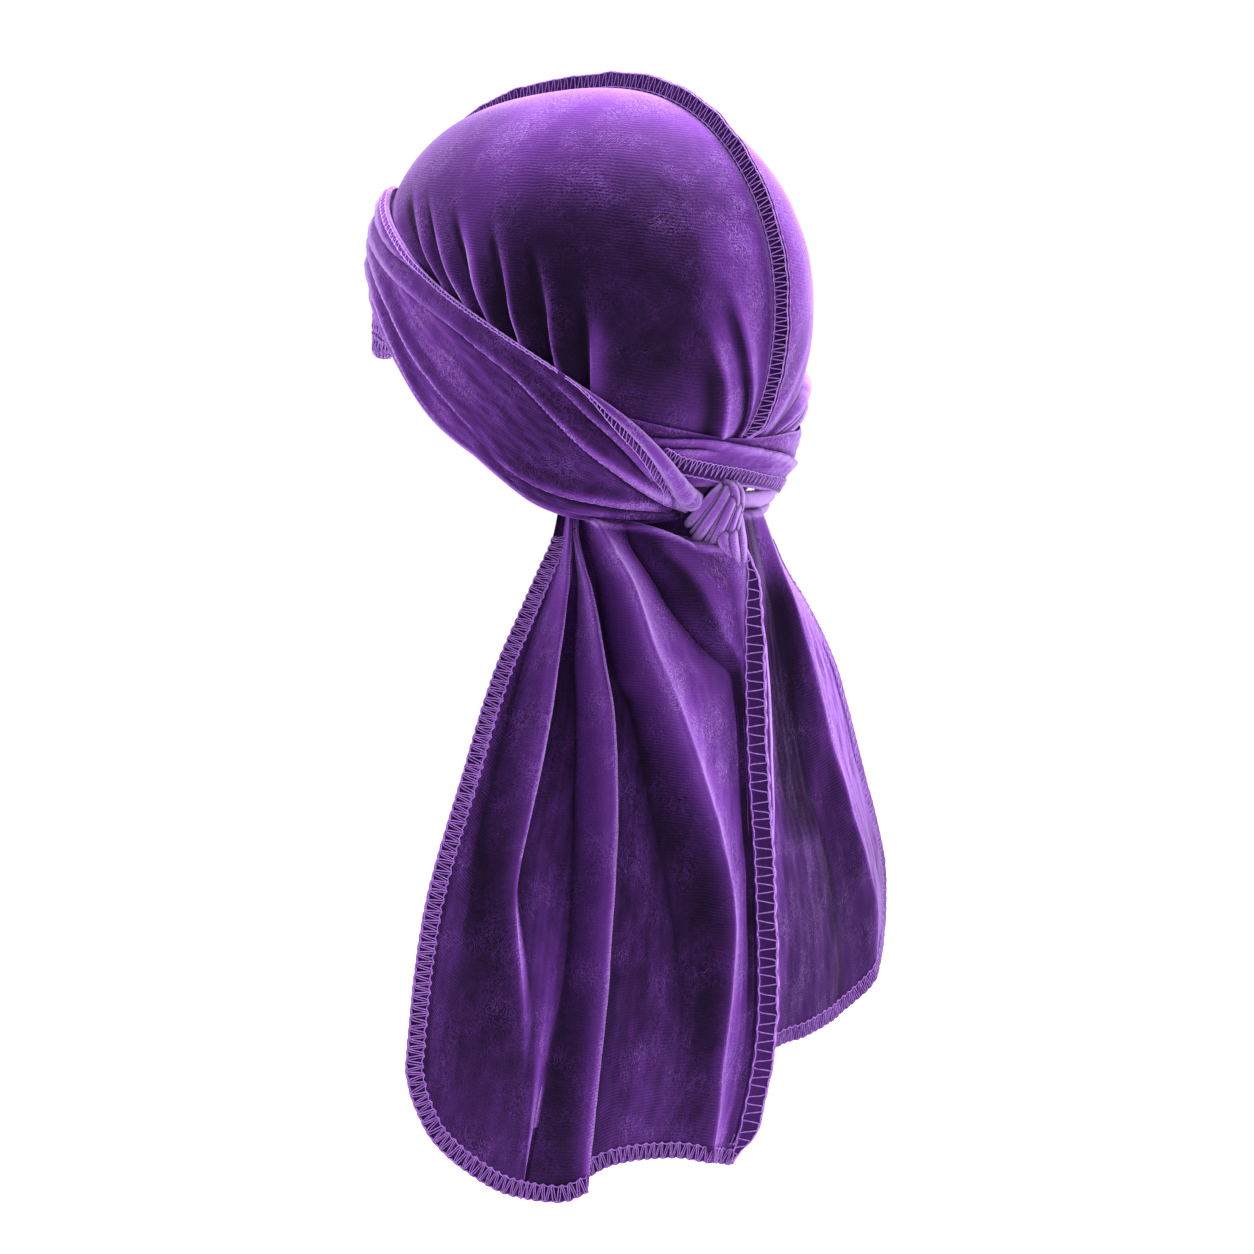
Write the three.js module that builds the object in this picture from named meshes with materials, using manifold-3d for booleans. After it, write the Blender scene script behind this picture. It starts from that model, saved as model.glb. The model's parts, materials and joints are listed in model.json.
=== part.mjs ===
// A tied velvet durag, as it sits on a head: two crown panels with an outside centre seam, a wide
// strap that goes once round the head, a twisted strap, the knot at the nape and a two-panel tail.
// Units are millimetres, +Z is up, the wearer faces -Y and the wearer's left is +X.
// The origin is the top of the wearer's head, where the inside of the crown rests on it.

import * as THREE from 'three';
import { mergeVertices } from 'three/addons/utils/BufferGeometryUtils.js';
import Module from 'manifold-3d';

const { degToRad, clamp, lerp, smoothstep } = THREE.MathUtils;

// ---- Driving dimensions: the head ----------------------------------------------------------

// Half breadths of the head at its widest level, and how it narrows below that level.
const HEAD = {
  side: 79,
  front: 98,
  back: 96,
  centreY: 1,
  widestDepth: 92,
  lowestDepth: 178,
  napeHollow: 0.0068,
  sideTaper: 0.0018,
  foreheadRoundness: 3,
  crownRoundness: 2.1,
};

const CLOTH = 1.2;
const GAP = 0.35;
const SEAM_HALF_GAP = 0.25;
const WELD = 1e-3;

// ---- Driving dimensions: the crown ---------------------------------------------------------

const CROWN_ROWS_ABOVE = 9;
const CROWN_ROWS_BELOW = 6;
const PLAIN_CROWN_COLUMNS = 20;
const WIDE_CROWN_STEP = 10;

// Lower edge of each crown panel, by angle from the back of the head towards its own side.
const CROWN_EDGE = [
  { angle: 0, depth: 160.5 },
  { angle: 30, depth: 158 },
  { angle: 60, depth: 150 },
  { angle: 90, depth: 134 },
  { angle: 112, depth: 110 },
  { angle: 135, depth: 90 },
  { angle: 180, depth: 84 },
];

// Gathers of the left crown panel, from the centre seam forward. Each fold runs from its lower end
// under the strap up to its upper end, where it fades out.
const CROWN_FOLDS = [
  { lowerAngle: 0, lowerDepth: 160, upperAngle: 0, upperDepth: 60, height: 0 },
  { lowerAngle: 5, lowerDepth: 138, upperAngle: 17, upperDepth: 84, height: 1.4 },
  { lowerAngle: 14, lowerDepth: 138, upperAngle: 27, upperDepth: 100, height: 1.4 },
  { lowerAngle: 34, lowerDepth: 150, upperAngle: 38, upperDepth: 100, height: 0 },
  { lowerAngle: 54, lowerDepth: 132, upperAngle: 56, upperDepth: 88, height: 1.8 },
  { lowerAngle: 62, lowerDepth: 124, upperAngle: 70, upperDepth: 68, height: 2.2 },
  { lowerAngle: 71, lowerDepth: 114, upperAngle: 84, upperDepth: 54, height: 2.2 },
  { lowerAngle: 79, lowerDepth: 106, upperAngle: 98, upperDepth: 47, height: 2.2 },
  { lowerAngle: 88, lowerDepth: 94, upperAngle: 111, upperDepth: 43, height: 2 },
  { lowerAngle: 96, lowerDepth: 85, upperAngle: 122, upperDepth: 37, height: 1.8 },
  { lowerAngle: 107, lowerDepth: 74, upperAngle: 141, upperDepth: 36, height: 1.6 },
  { lowerAngle: 180, lowerDepth: 60, upperAngle: 180, upperDepth: 30, height: 0 },
];
const FOLD_FULL_AT = 0.8;
const FOLD_PRESSED_SHARE = 0.6;
const FOLD_PRESSED_LENGTH = 8;

// The centre seam drifts a few degrees to the left over the back of the head.
const SEAM_DRIFT = [
  { depth: 0, angle: 6 },
  { depth: 40, angle: 6 },
  { depth: 70, angle: 4.6 },
  { depth: 108, angle: 3 },
  { depth: 135, angle: 0 },
  { depth: 165, angle: 0 },
];
const SEAM_DRIFT_REACH = 90;

// Outside flange of the centre seam, from the front over the top to the nape.
const CROWN_SEAM = {
  height: 6, endHeight: 1, thickness: 2, leanDegrees: 8, taper: 14, frontDepth: 34, backDepth: 145, steps: 44,
};

// Gathered hem of the crown, which shows below the strap on the forehead.
const FRONT_HEM = { startAngle: 118, endAngle: 242, thickness: 1.4, ruffle: 0.25, gap: 1, columns: 42, rows: 2 };
const FRONT_HEM_EDGE = [
  { angle: 118, depth: 123 },
  { angle: 130, depth: 113 },
  { angle: 150, depth: 106 },
  { angle: 180, depth: 103 },
  { angle: 210, depth: 106 },
  { angle: 230, depth: 113 },
  { angle: 242, depth: 123 },
];

// ---- Driving dimensions: the straps --------------------------------------------------------

// Wide strap: `turn` is degrees from the back of the head towards the right, `lift` is how far its
// inside face stands off the head. Its last stretch lies over its first one and meets the knot.
const STRAP = [
  { turn: -46, top: 147, bottom: 163, lift: 2.5 },
  { turn: -29, top: 147, bottom: 168, lift: 2.5 },
  { turn: -11, top: 148, bottom: 171, lift: 2.8 },
  { turn: 6, top: 146, bottom: 170, lift: 3 },
  { turn: 22, top: 143.5, bottom: 168, lift: 4.6 },
  { turn: 40, top: 140, bottom: 164, lift: 6 },
  { turn: 65, top: 127, bottom: 158, lift: 4.4 },
  { turn: 90, top: 108, bottom: 150, lift: 2.6 },
  { turn: 112, top: 86, bottom: 135, lift: 2.8 },
  { turn: 135, top: 63, bottom: 113, lift: 2.8 },
  { turn: 157, top: 46, bottom: 98, lift: 2.8 },
  { turn: 180, top: 37, bottom: 91, lift: 2.8 },
  { turn: 203, top: 36, bottom: 90, lift: 3 },
  { turn: 218, top: 39, bottom: 93, lift: 3.8 },
  { turn: 230, top: 49, bottom: 102, lift: 4.4 },
  { turn: 244, top: 63, bottom: 120, lift: 4.6 },
  { turn: 257, top: 79, bottom: 140, lift: 4.6 },
  { turn: 273, top: 97, bottom: 157, lift: 4.6 },
  { turn: 289, top: 115, bottom: 171, lift: 4.6 },
  { turn: 302, top: 129, bottom: 177, lift: 4.8 },
  { turn: 316, top: 143, bottom: 180, lift: 5.8 },
  { turn: 329, top: 156, bottom: 181, lift: 6.8 },
  { turn: 340, top: 165, bottom: 180.5, lift: 7.6 },
  { turn: 350, top: 170, bottom: 179, lift: 8.2 },
];
const STRAP_STEP_DEGREES = 9;
const STRAP_WALL = 1.6;
const STRAP_PLEATS = { count: 5, height: 1.8, crestAt: 0.8, insideShare: 0.4, fullWidth: 50, leastShare: 0.35 };

// Twisted strap along the right side of the head, above the wide strap.
const TWIST = [
  { turn: 24, depth: 138, lift: 5, tall: 9, thick: 5 },
  { turn: 34, depth: 132, lift: 5.2, tall: 15, thick: 6.6 },
  { turn: 48, depth: 122, lift: 5.6, tall: 17, thick: 7.4 },
  { turn: 65, depth: 112, lift: 5.6, tall: 17, thick: 7.4 },
  { turn: 90, depth: 93, lift: 5.6, tall: 17, thick: 7.4 },
  { turn: 112, depth: 73, lift: 5.4, tall: 16, thick: 7 },
  { turn: 130, depth: 56, lift: 5, tall: 14, thick: 6.4 },
  { turn: 146, depth: 43, lift: 3.8, tall: 9, thick: 4 },
];
const TWIST_SHAPE = { lobes: 3, lobeDepth: 0.16, turns: 1.4, steps: 30, sides: 15 };

// Tie end of the right strap, from the knot along the lower edge of the wide strap.
const TIE_END = [
  { turn: 8, depth: 173, lift: 10, tall: 7, thick: 6 },
  { turn: 20, depth: 174, lift: 8.4, tall: 8, thick: 6.6 },
  { turn: 40, depth: 171, lift: 7.6, tall: 8, thick: 6.2 },
  { turn: 65, depth: 164.5, lift: 6.4, tall: 8, thick: 5.6 },
  { turn: 84, depth: 158, lift: 5, tall: 7, thick: 4.4 },
  { turn: 96, depth: 152, lift: 3.6, tall: 4, thick: 2.4 },
];
const TIE_END_SHAPE = { steps: 16, sides: 10 };

// Knot at the nape. Each strand is an arc over the core, through its start, crest and end.
const KNOT_CENTRE = new THREE.Vector3(4, 69.5, -177);
const KNOT_CORE = { across: 10.5, out: 7.5, up: 10, slices: 14, rings: 10 };
const KNOT_STRAND = { radius: 4, steps: 8, curveSegments: 5 };
const KNOT_STRANDS = [
  { start: [12, -8, -8], crest: [6, 7, 1], end: [-4, 1, 12] },
  { start: [6, -7, -12], crest: [0, 8, -3], end: [-9, 1, 8] },
  { start: [0, -7, -13], crest: [-6, 6, -6], end: [-13, -4, 2] },
];

// ---- Driving dimensions: the tail ----------------------------------------------------------

// Plan of the hanging tail by level: the centre seam, then each panel's bend and outer edge.
const TAIL_PLAN = [
  { depth: 178, seamX: -1, seamY: 50, leftBendX: 40, leftBendY: 50, leftX: 50, leftY: 24,
    rightBendX: -40, rightBendY: 50, rightX: -54, rightY: 26 },
  { depth: 188, seamX: -1, seamY: 55, leftBendX: 44, leftBendY: 57, leftX: 56, leftY: 25,
    rightBendX: -38, rightBendY: 58, rightX: -50, rightY: 46 },
  { depth: 198, seamX: -2, seamY: 68, leftBendX: 48, leftBendY: 64, leftX: 64, leftY: 25,
    rightBendX: -34, rightBendY: 72, rightX: -52, rightY: 56 },
  { depth: 215, seamX: 0, seamY: 75, leftBendX: 53, leftBendY: 67, leftX: 76, leftY: 25,
    rightBendX: -34, rightBendY: 79, rightX: -58, rightY: 64 },
  { depth: 240, seamX: 1, seamY: 78, leftBendX: 56, leftBendY: 67, leftX: 93, leftY: 25,
    rightBendX: -38, rightBendY: 82, rightX: -73, rightY: 69 },
  { depth: 275, seamX: 2, seamY: 81, leftBendX: 60, leftBendY: 66, leftX: 110, leftY: 25,
    rightBendX: -44, rightBendY: 84, rightX: -90, rightY: 71 },
  { depth: 330, seamX: 2, seamY: 86, leftBendX: 66, leftBendY: 65, leftX: 134, leftY: 25,
    rightBendX: -54, rightBendY: 86, rightX: -114, rightY: 72 },
  { depth: 390, seamX: 2, seamY: 86, leftBendX: 72, leftBendY: 64, leftX: 145, leftY: 25,
    rightBendX: -58, rightBendY: 84, rightX: -121, rightY: 70 },
  { depth: 450, seamX: 3, seamY: 72, leftBendX: 74, leftBendY: 58, leftX: 149, leftY: 25,
    rightBendX: -58, rightBendY: 74, rightX: -122, rightY: 64 },
];

// Lower hem of each panel, from the seam at 0 to the outer edge at 1.
const TAIL_HEM = [
  { at: 0, left: 441, right: 439 },
  { at: 0.1, left: 438, right: 416 },
  { at: 0.2, left: 435, right: 399 },
  { at: 0.4, left: 435, right: 394 },
  { at: 0.5, left: 441, right: 391 },
  { at: 0.56, left: 446, right: 389 },
  { at: 0.7, left: 442, right: 382 },
  { at: 0.8, left: 434, right: 373 },
  { at: 0.92, left: 418, right: 353 },
  { at: 0.98, left: 401, right: 336 },
  { at: 1, left: 390, right: 325 },
];

// Folds of the tail, from the seam at 0 to the outer edge at 1 along the hem. Each row is a crest
// or a valley, with its height at the gather, a third of the way down and at the hem.
const TAIL_FOLDS = {
  left: [
    { at: 0, top: 0, middle: 0, low: 0 },
    { at: 0.06, top: -3, middle: -4, low: -1 },
    { at: 0.22, top: 6, middle: 11, low: 3 },
    { at: 0.33, top: 0, middle: 0, low: 0 },
    { at: 0.42, top: -4, middle: -11, low: -5 },
    { at: 0.54, top: 4, middle: 11, low: 9 },
    { at: 0.62, top: 0, middle: 0, low: 2 },
    { at: 0.7, top: -4, middle: -8, low: -2 },
    { at: 0.86, top: 1, middle: 1, low: 0 },
    { at: 1, top: 0, middle: 0, low: 0 },
  ],
  right: [
    { at: 0, top: 0, middle: 0, low: 0 },
    { at: 0.04, top: 0, middle: 0, low: -3 },
    { at: 0.12, top: 2, middle: 5, low: -16 },
    { at: 0.25, top: -3, middle: -9, low: -6 },
    { at: 0.42, top: 2, middle: 7, low: 5 },
    { at: 0.6, top: -3, middle: -8, low: -3 },
    { at: 0.8, top: 2, middle: 8, low: 4 },
    { at: 1, top: 0, middle: 0, low: 0 },
  ],
};
const TAIL_FOLD_DEPTHS = { top: 190, middle: 255, low: 440 };

// How the cloth is drawn to the outer edge at the gather: a place on the hem, raised to this
// power, is its place between seam and edge at that level.
const TAIL_DRAW = [
  { depth: 178, left: 0.28, right: 1 },
  { depth: 190, left: 0.34, right: 1 },
  { depth: 208, left: 0.56, right: 1 },
  { depth: 235, left: 0.8, right: 1 },
  { depth: 258, left: 0.95, right: 1 },
  { depth: 300, left: 1, right: 1 },
];
const TAIL_TOP = 162;
const TAIL_GATHER = { from: 179, to: 200, leftAngle: 66, rightAngle: 62 };
const TAIL_LINES_PER_FOLD = 3;
const TAIL_ROWS = 18;
const TAIL_ROW_CROWDING = 1.5;
const TAIL_SLOPE_STEP = 0.02;

// Outside flange of the tail's centre seam.
const TAIL_SEAM = { height: 7.5, endHeight: 1, thickness: 2, leanDegrees: 24, topDepth: 199.5, taper: 12, steps: 26 };

const VELVET = { color: 0x5b2a86, roughness: 0.85, metalness: 0 };
const VELVET_SEAM = { color: 0x4a2170, roughness: 0.9, metalness: 0 };

// ---- Tables ---------------------------------------------------------------------------------

/** Reads one column of a table between its rows, along a smooth curve through them. */
function readTable(table, key, at, column) {
  const last = table.length - 1;
  let i = 0;
  while (i < last - 1 && table[i + 1][key] < at) i += 1;
  const slope = (a, b) => (table[b][column] - table[a][column]) / (table[b][key] - table[a][key]);
  const span = table[i + 1][key] - table[i][key];
  const t = clamp((at - table[i][key]) / span, 0, 1);
  const startSlope = slope(Math.max(i - 1, 0), i + 1) * span;
  const endSlope = slope(i, Math.min(i + 2, last)) * span;
  const [from, to] = [table[i][column], table[i + 1][column]];
  return (
    (2 * t ** 3 - 3 * t ** 2 + 1) * from +
    (t ** 3 - 2 * t ** 2 + t) * startSlope +
    (3 * t ** 2 - 2 * t ** 3) * to +
    (t ** 3 - t ** 2) * endSlope
  );
}

// ---- The head that the cloth lies on -------------------------------------------------------

/** Half breadths of the head at a depth below its top. */
function headSection(depth) {
  if (depth <= HEAD.widestDepth) {
    const rise = 1 - depth / HEAD.widestDepth;
    const round = (power) => (1 - rise ** power) ** (1 / power);
    return {
      front: HEAD.front * round(HEAD.foreheadRoundness),
      back: HEAD.back * round(HEAD.crownRoundness),
      side: HEAD.side * round(HEAD.crownRoundness),
    };
  }
  const below = Math.min(depth, HEAD.lowestDepth) - HEAD.widestDepth;
  return {
    front: HEAD.front,
    back: HEAD.back - HEAD.napeHollow * below ** 2,
    side: HEAD.side - HEAD.sideTaper * below ** 2,
  };
}

/** Point on the head: angle in degrees from the back towards the left, depth below the top. */
function headPoint(angle, depth) {
  const { front, back, side } = headSection(depth);
  const across = Math.sin(degToRad(angle));
  const along = Math.cos(degToRad(angle));
  return new THREE.Vector3(side * across, (along > 0 ? back : front) * along + HEAD.centreY, -depth);
}

/** Outward direction from the head; it is level below the widest part. */
function headNormal(angle, depth) {
  const step = 0.5;
  const upper = Math.max(depth - step, 0.02);
  const around = headPoint(angle + step, upper + step).sub(headPoint(angle - step, upper + step));
  const down = headPoint(angle, upper + 2 * step).sub(headPoint(angle, upper));
  const normal = around.cross(down);
  if (depth > HEAD.widestDepth) normal.z = 0;
  return normal.normalize();
}

/** Point at a height off the head. */
function aboveHead(angle, depth, height) {
  return headPoint(angle, depth).addScaledVector(headNormal(angle, depth), height);
}

// ---- Closed solids -------------------------------------------------------------------------

/** Makes one closed geometry from triangles of points, with its faces pointing out. */
function closedGeometry(triangles) {
  const values = triangles.flat().flatMap((point) => [point.x, point.y, point.z]);
  const loose = new THREE.BufferGeometry();
  loose.setAttribute('position', new THREE.Float32BufferAttribute(values, 3));
  const geometry = mergeVertices(loose, WELD);
  const index = Array.from(geometry.index.array);
  const corner = (i) => new THREE.Vector3().fromBufferAttribute(geometry.attributes.position, i);
  const kept = [];
  let volume = 0;
  for (let i = 0; i < index.length; i += 3) {
    const [a, b, c] = index.slice(i, i + 3);
    if (a !== b && b !== c && c !== a) {
      kept.push([a, b, c]);
      volume += corner(a).dot(corner(b).cross(corner(c)));
    }
  }
  geometry.setIndex(kept.flatMap(([a, b, c]) => (volume > 0 ? [a, b, c] : [a, c, b])));
  geometry.computeVertexNormals();
  return geometry;
}

/**
 * Cloth over a grid of columns and rows, closed round its rim. `face(column, row, outside)` gives
 * a point of the outside face or of the inside face.
 */
function clothGeometry(columns, rows, face) {
  const grid = (outside) =>
    Array.from({ length: columns + 1 }, (_, c) =>
      Array.from({ length: rows + 1 }, (__, r) => face(c, r, outside)),
    );
  const inside = grid(false);
  const outside = grid(true);
  const triangles = [];
  const quad = (a, b, c, d) => triangles.push([a, b, c], [a, c, d]);
  for (let c = 0; c < columns; c += 1) {
    for (let r = 0; r < rows; r += 1) {
      quad(outside[c][r], outside[c + 1][r], outside[c + 1][r + 1], outside[c][r + 1]);
      quad(inside[c][r], inside[c][r + 1], inside[c + 1][r + 1], inside[c + 1][r]);
    }
    quad(outside[c + 1][0], outside[c][0], inside[c][0], inside[c + 1][0]);
    quad(outside[c][rows], outside[c + 1][rows], inside[c + 1][rows], inside[c][rows]);
  }
  for (let r = 0; r < rows; r += 1) {
    quad(outside[0][r], outside[0][r + 1], inside[0][r + 1], inside[0][r]);
    quad(outside[columns][r + 1], outside[columns][r], inside[columns][r], inside[columns][r + 1]);
  }
  return closedGeometry(triangles);
}

/** A closed bar of rings with `sides` corners; `section(step, corner)` gives each point. */
function barGeometry(steps, sides, section) {
  const rings = Array.from({ length: steps + 1 }, (_, s) =>
    Array.from({ length: sides }, (__, k) => section(s, k)),
  );
  const triangles = [];
  for (let s = 0; s < steps; s += 1) {
    for (let k = 0; k < sides; k += 1) {
      const next = (k + 1) % sides;
      triangles.push([rings[s][k], rings[s + 1][k], rings[s + 1][next]]);
      triangles.push([rings[s][k], rings[s + 1][next], rings[s][next]]);
    }
  }
  const addCap = (ring, isLast) => {
    const middle = ring.reduce((sum, point) => sum.add(point), new THREE.Vector3()).divideScalar(sides);
    for (let k = 0; k < sides; k += 1) {
      const [from, to] = [ring[k], ring[(k + 1) % sides]];
      triangles.push(isLast ? [middle, to, from] : [middle, from, to]);
    }
  };
  addCap(rings[0], false);
  addCap(rings[steps], true);
  return closedGeometry(triangles);
}

/** Values from one end to the other in even steps. */
function evenSteps(from, to, steps) {
  return Array.from({ length: steps + 1 }, (_, i) => lerp(from, to, i / steps));
}

// ---- Crown ---------------------------------------------------------------------------------

/** Follows a line of cloth up from the gathers: its angle and how gathered it is at a depth. */
function followGather(lowerAngle, depth) {
  const read = (column) => readTable(CROWN_FOLDS, 'lowerAngle', lowerAngle, column);
  const [upperDepth, lowerDepth] = [read('upperDepth'), read('lowerDepth')];
  const down = clamp((depth - upperDepth) / (lowerDepth - upperDepth), 0, 1);
  const pressed = FOLD_PRESSED_SHARE * smoothstep(depth, lowerDepth, lowerDepth + FOLD_PRESSED_LENGTH);
  return {
    angle: lerp(read('upperAngle'), lowerAngle, down),
    gathered: smoothstep(down, 0, FOLD_FULL_AT) - pressed,
  };
}

/** The left panel's lines of cloth: one on each fold's crest, and others between the crests. */
function gatheredLines() {
  const lines = [{ lowerAngle: 0, height: 0 }];
  for (let i = 1; i < CROWN_FOLDS.length; i += 1) {
    const [before, fold] = [CROWN_FOLDS[i - 1], CROWN_FOLDS[i]];
    const gap = fold.lowerAngle - before.lowerAngle;
    const parts = Math.max(2, Math.round(gap / WIDE_CROWN_STEP));
    for (const angle of evenSteps(before.lowerAngle, fold.lowerAngle, parts).slice(1, -1)) {
      lines.push({ lowerAngle: angle, height: 0 });
    }
    lines.push({ lowerAngle: fold.lowerAngle, height: fold.height });
  }
  return lines.map(({ lowerAngle, height }) => ({ lowerAngle, height, follow: followGather }));
}

/** The right panel's lines of cloth, which run straight down. */
function plainLines() {
  const straight = (angle) => ({ angle, gathered: 0 });
  return evenSteps(0, 180, PLAIN_CROWN_COLUMNS).map((angle) => ({
    lowerAngle: angle,
    height: 0,
    follow: straight,
  }));
}

/** Depth of a crown row: even steps round the dome, then even steps down to the edge. */
function crownRowDepth(row, edge) {
  const dome = Math.min(edge, HEAD.widestDepth);
  if (row > CROWN_ROWS_ABOVE) return lerp(dome, edge, (row - CROWN_ROWS_ABOVE) / CROWN_ROWS_BELOW);
  const reach = Math.acos(1 - dome / HEAD.widestDepth);
  return HEAD.widestDepth * (1 - Math.cos((reach * row) / CROWN_ROWS_ABOVE));
}

/** One half of the crown; side is 1 for the left and -1 for the right. */
function crownPanel(side, lines) {
  const face = (c, r, outside) => {
    const line = lines[c];
    const depth = crownRowDepth(r, readTable(CROWN_EDGE, 'angle', line.lowerAngle, 'depth'));
    const { angle, gathered } = line.follow(line.lowerAngle, depth);
    const drift = side * readTable(SEAM_DRIFT, 'depth', depth, 'angle');
    const own = angle + drift * Math.max(0, 1 - angle / SEAM_DRIFT_REACH);
    const point = aboveHead(side * own, depth, (outside ? CLOTH : 0) + line.height * gathered);
    point.x += side * SEAM_HALF_GAP;
    return point;
  };
  return clothGeometry(lines.length - 1, CROWN_ROWS_ABOVE + CROWN_ROWS_BELOW, face);
}

/** Point over the centre seam at an arc from the top, in quarter turns: front is negative. */
function seamPoint(arc, height) {
  const quarter = Math.abs(arc);
  const depth =
    quarter < 1
      ? HEAD.widestDepth * (1 - Math.cos((quarter * Math.PI) / 2))
      : HEAD.widestDepth * (1 + ((quarter - 1) * Math.PI) / 2);
  const angle = arc < 0 ? 180 : readTable(SEAM_DRIFT, 'depth', depth, 'angle');
  return aboveHead(angle, depth, height);
}

/** The arc from the top to a depth, in quarter turns: the inverse of seamPoint's depth. */
function seamArc(depth) {
  const share = depth / HEAD.widestDepth;
  return share < 1 ? Math.acos(1 - share) / (Math.PI / 2) : 1 + (share - 1) / (Math.PI / 2);
}

function crownSeam() {
  const { height, endHeight, thickness, leanDegrees, taper, steps } = CROWN_SEAM;
  const arcs = evenSteps(-seamArc(CROWN_SEAM.frontDepth), seamArc(CROWN_SEAM.backDepth), steps);
  const base = CLOTH + GAP;
  const feet = arcs.map((arc) => seamPoint(arc, base));
  const section = (s, corner) => {
    const fromEnd = Math.min(feet[s].distanceTo(feet[0]), feet[s].distanceTo(feet[steps]));
    const isTop = corner > 1;
    const rise = isTop ? lerp(endHeight, height, smoothstep(fromEnd, 0, taper)) : 0;
    const side = corner === 0 || corner === 3 ? 1 : -1;
    const point = seamPoint(arcs[s], base + rise);
    point.x += (side * thickness) / 2 - rise * Math.tan(degToRad(leanDegrees));
    return point;
  };
  return barGeometry(steps, 4, section);
}

function frontHem() {
  const { startAngle, endAngle, thickness, ruffle, gap, columns, rows } = FRONT_HEM;
  const face = (c, r, outside) => {
    const angle = lerp(startAngle, endAngle, c / columns);
    const edge = readTable(FRONT_HEM_EDGE, 'angle', angle, 'depth');
    const crownEdge = readTable(CROWN_EDGE, 'angle', angle <= 180 ? angle : 360 - angle, 'depth');
    const wave = ((c % 2 ? ruffle : -ruffle) * r) / rows;
    const height = ruffle + (outside ? thickness : 0) + wave;
    return aboveHead(angle, lerp(crownEdge + gap, edge, r / rows), height);
  };
  return clothGeometry(columns, rows, face);
}

// ---- Straps --------------------------------------------------------------------------------

function wideStrap() {
  const [first, last] = [STRAP[0].turn, STRAP[STRAP.length - 1].turn];
  const rows = Math.round((last - first) / STRAP_STEP_DEGREES);
  const pleats = STRAP_PLEATS;
  const face = (c, r, outside) => {
    const turn = lerp(first, last, r / rows);
    const read = (column) => readTable(STRAP, 'turn', turn, column);
    const isCrest = c % 2 === 1;
    const across = (Math.floor(c / 2) + (isCrest ? pleats.crestAt : 0)) / pleats.count;
    const spread = clamp((read('bottom') - read('top')) / pleats.fullWidth, pleats.leastShare, 1);
    const pleat = isCrest ? pleats.height * spread : 0;
    const height = read('lift') + (outside ? STRAP_WALL + pleat : pleats.insideShare * pleat);
    return aboveHead(-turn, lerp(read('top'), read('bottom'), across), height);
  };
  return clothGeometry(2 * pleats.count, rows, face);
}

/** A bar that lies on the head along a route; `outline(angle, along)` shapes its section. */
function barOnHead(route, steps, sides, outline) {
  const [first, last] = [route[0].turn, route[route.length - 1].turn];
  const middleAt = (s, shift) => {
    const turn = lerp(first, last, clamp(s, 0, steps) / steps);
    const read = (column) => readTable(route, 'turn', turn, column);
    return aboveHead(-turn, read('depth') + shift, read('lift'));
  };
  const section = (s, k) => {
    const turn = lerp(first, last, s / steps);
    const along = middleAt(s + 0.5, 0).sub(middleAt(s - 0.5, 0));
    const slope = middleAt(s, -1).sub(middleAt(s, 1));
    const out = slope.cross(along).normalize();
    const up = along.cross(out).normalize();
    const { rise, across } = outline((2 * Math.PI * k) / sides, s / steps);
    return middleAt(s, 0)
      .addScaledVector(up, (across * readTable(route, 'turn', turn, 'tall')) / 2)
      .addScaledVector(out, (rise * readTable(route, 'turn', turn, 'thick')) / 2);
  };
  return barGeometry(steps, sides, section);
}

function twistedStrap() {
  const { lobes, lobeDepth, turns, steps, sides } = TWIST_SHAPE;
  const outline = (angle, along) => {
    const radius = 1 - lobeDepth * (1 + Math.cos(lobes * (angle - 2 * Math.PI * turns * along)));
    return { across: radius * Math.cos(angle), rise: radius * Math.sin(angle) };
  };
  return barOnHead(TWIST, steps, sides, outline);
}

function tieEnd() {
  const outline = (angle) => ({ across: Math.cos(angle), rise: Math.sin(angle) });
  return barOnHead(TIE_END, TIE_END_SHAPE.steps, TIE_END_SHAPE.sides, outline);
}

// ---- Knot ----------------------------------------------------------------------------------

/** A manifold solid of a closed geometry. */
function manifoldOf(wasm, geometry) {
  const bare = geometry.clone();
  bare.deleteAttribute('normal');
  bare.deleteAttribute('uv');
  const merged = mergeVertices(bare, WELD);
  const mesh = new wasm.Mesh({
    numProp: 3,
    vertProperties: new Float32Array(merged.attributes.position.array),
    triVerts: new Uint32Array(merged.index.array),
  });
  return new wasm.Manifold(mesh);
}

/** The geometry of a manifold solid. */
function geometryOf(manifold) {
  const mesh = manifold.getMesh();
  const geometry = new THREE.BufferGeometry();
  geometry.setAttribute('position', new THREE.Float32BufferAttribute(mesh.vertProperties, mesh.numProp));
  geometry.setIndex(new THREE.Uint32BufferAttribute(mesh.triVerts, 1));
  geometry.computeVertexNormals();
  return geometry;
}

function knot(wasm) {
  const core = new THREE.SphereGeometry(1, KNOT_CORE.slices, KNOT_CORE.rings);
  core.scale(KNOT_CORE.across, KNOT_CORE.out, KNOT_CORE.up);
  const round = new THREE.Shape();
  round.absarc(0, 0, KNOT_STRAND.radius, 0, 2 * Math.PI);
  let joined = manifoldOf(wasm, core);
  for (const { start, crest, end } of KNOT_STRANDS) {
    const arc = new THREE.CatmullRomCurve3([start, crest, end].map((point) => new THREE.Vector3(...point)));
    const { steps, curveSegments } = KNOT_STRAND;
    const tube = new THREE.ExtrudeGeometry(round, { steps, curveSegments, extrudePath: arc });
    joined = joined.add(manifoldOf(wasm, tube));
  }
  return geometryOf(joined).translate(...KNOT_CENTRE);
}

// ---- Tail ----------------------------------------------------------------------------------

/** 1 for the left panel and -1 for the right one. */
function sideOf(panel) {
  return panel === 'left' ? 1 : -1;
}

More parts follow.
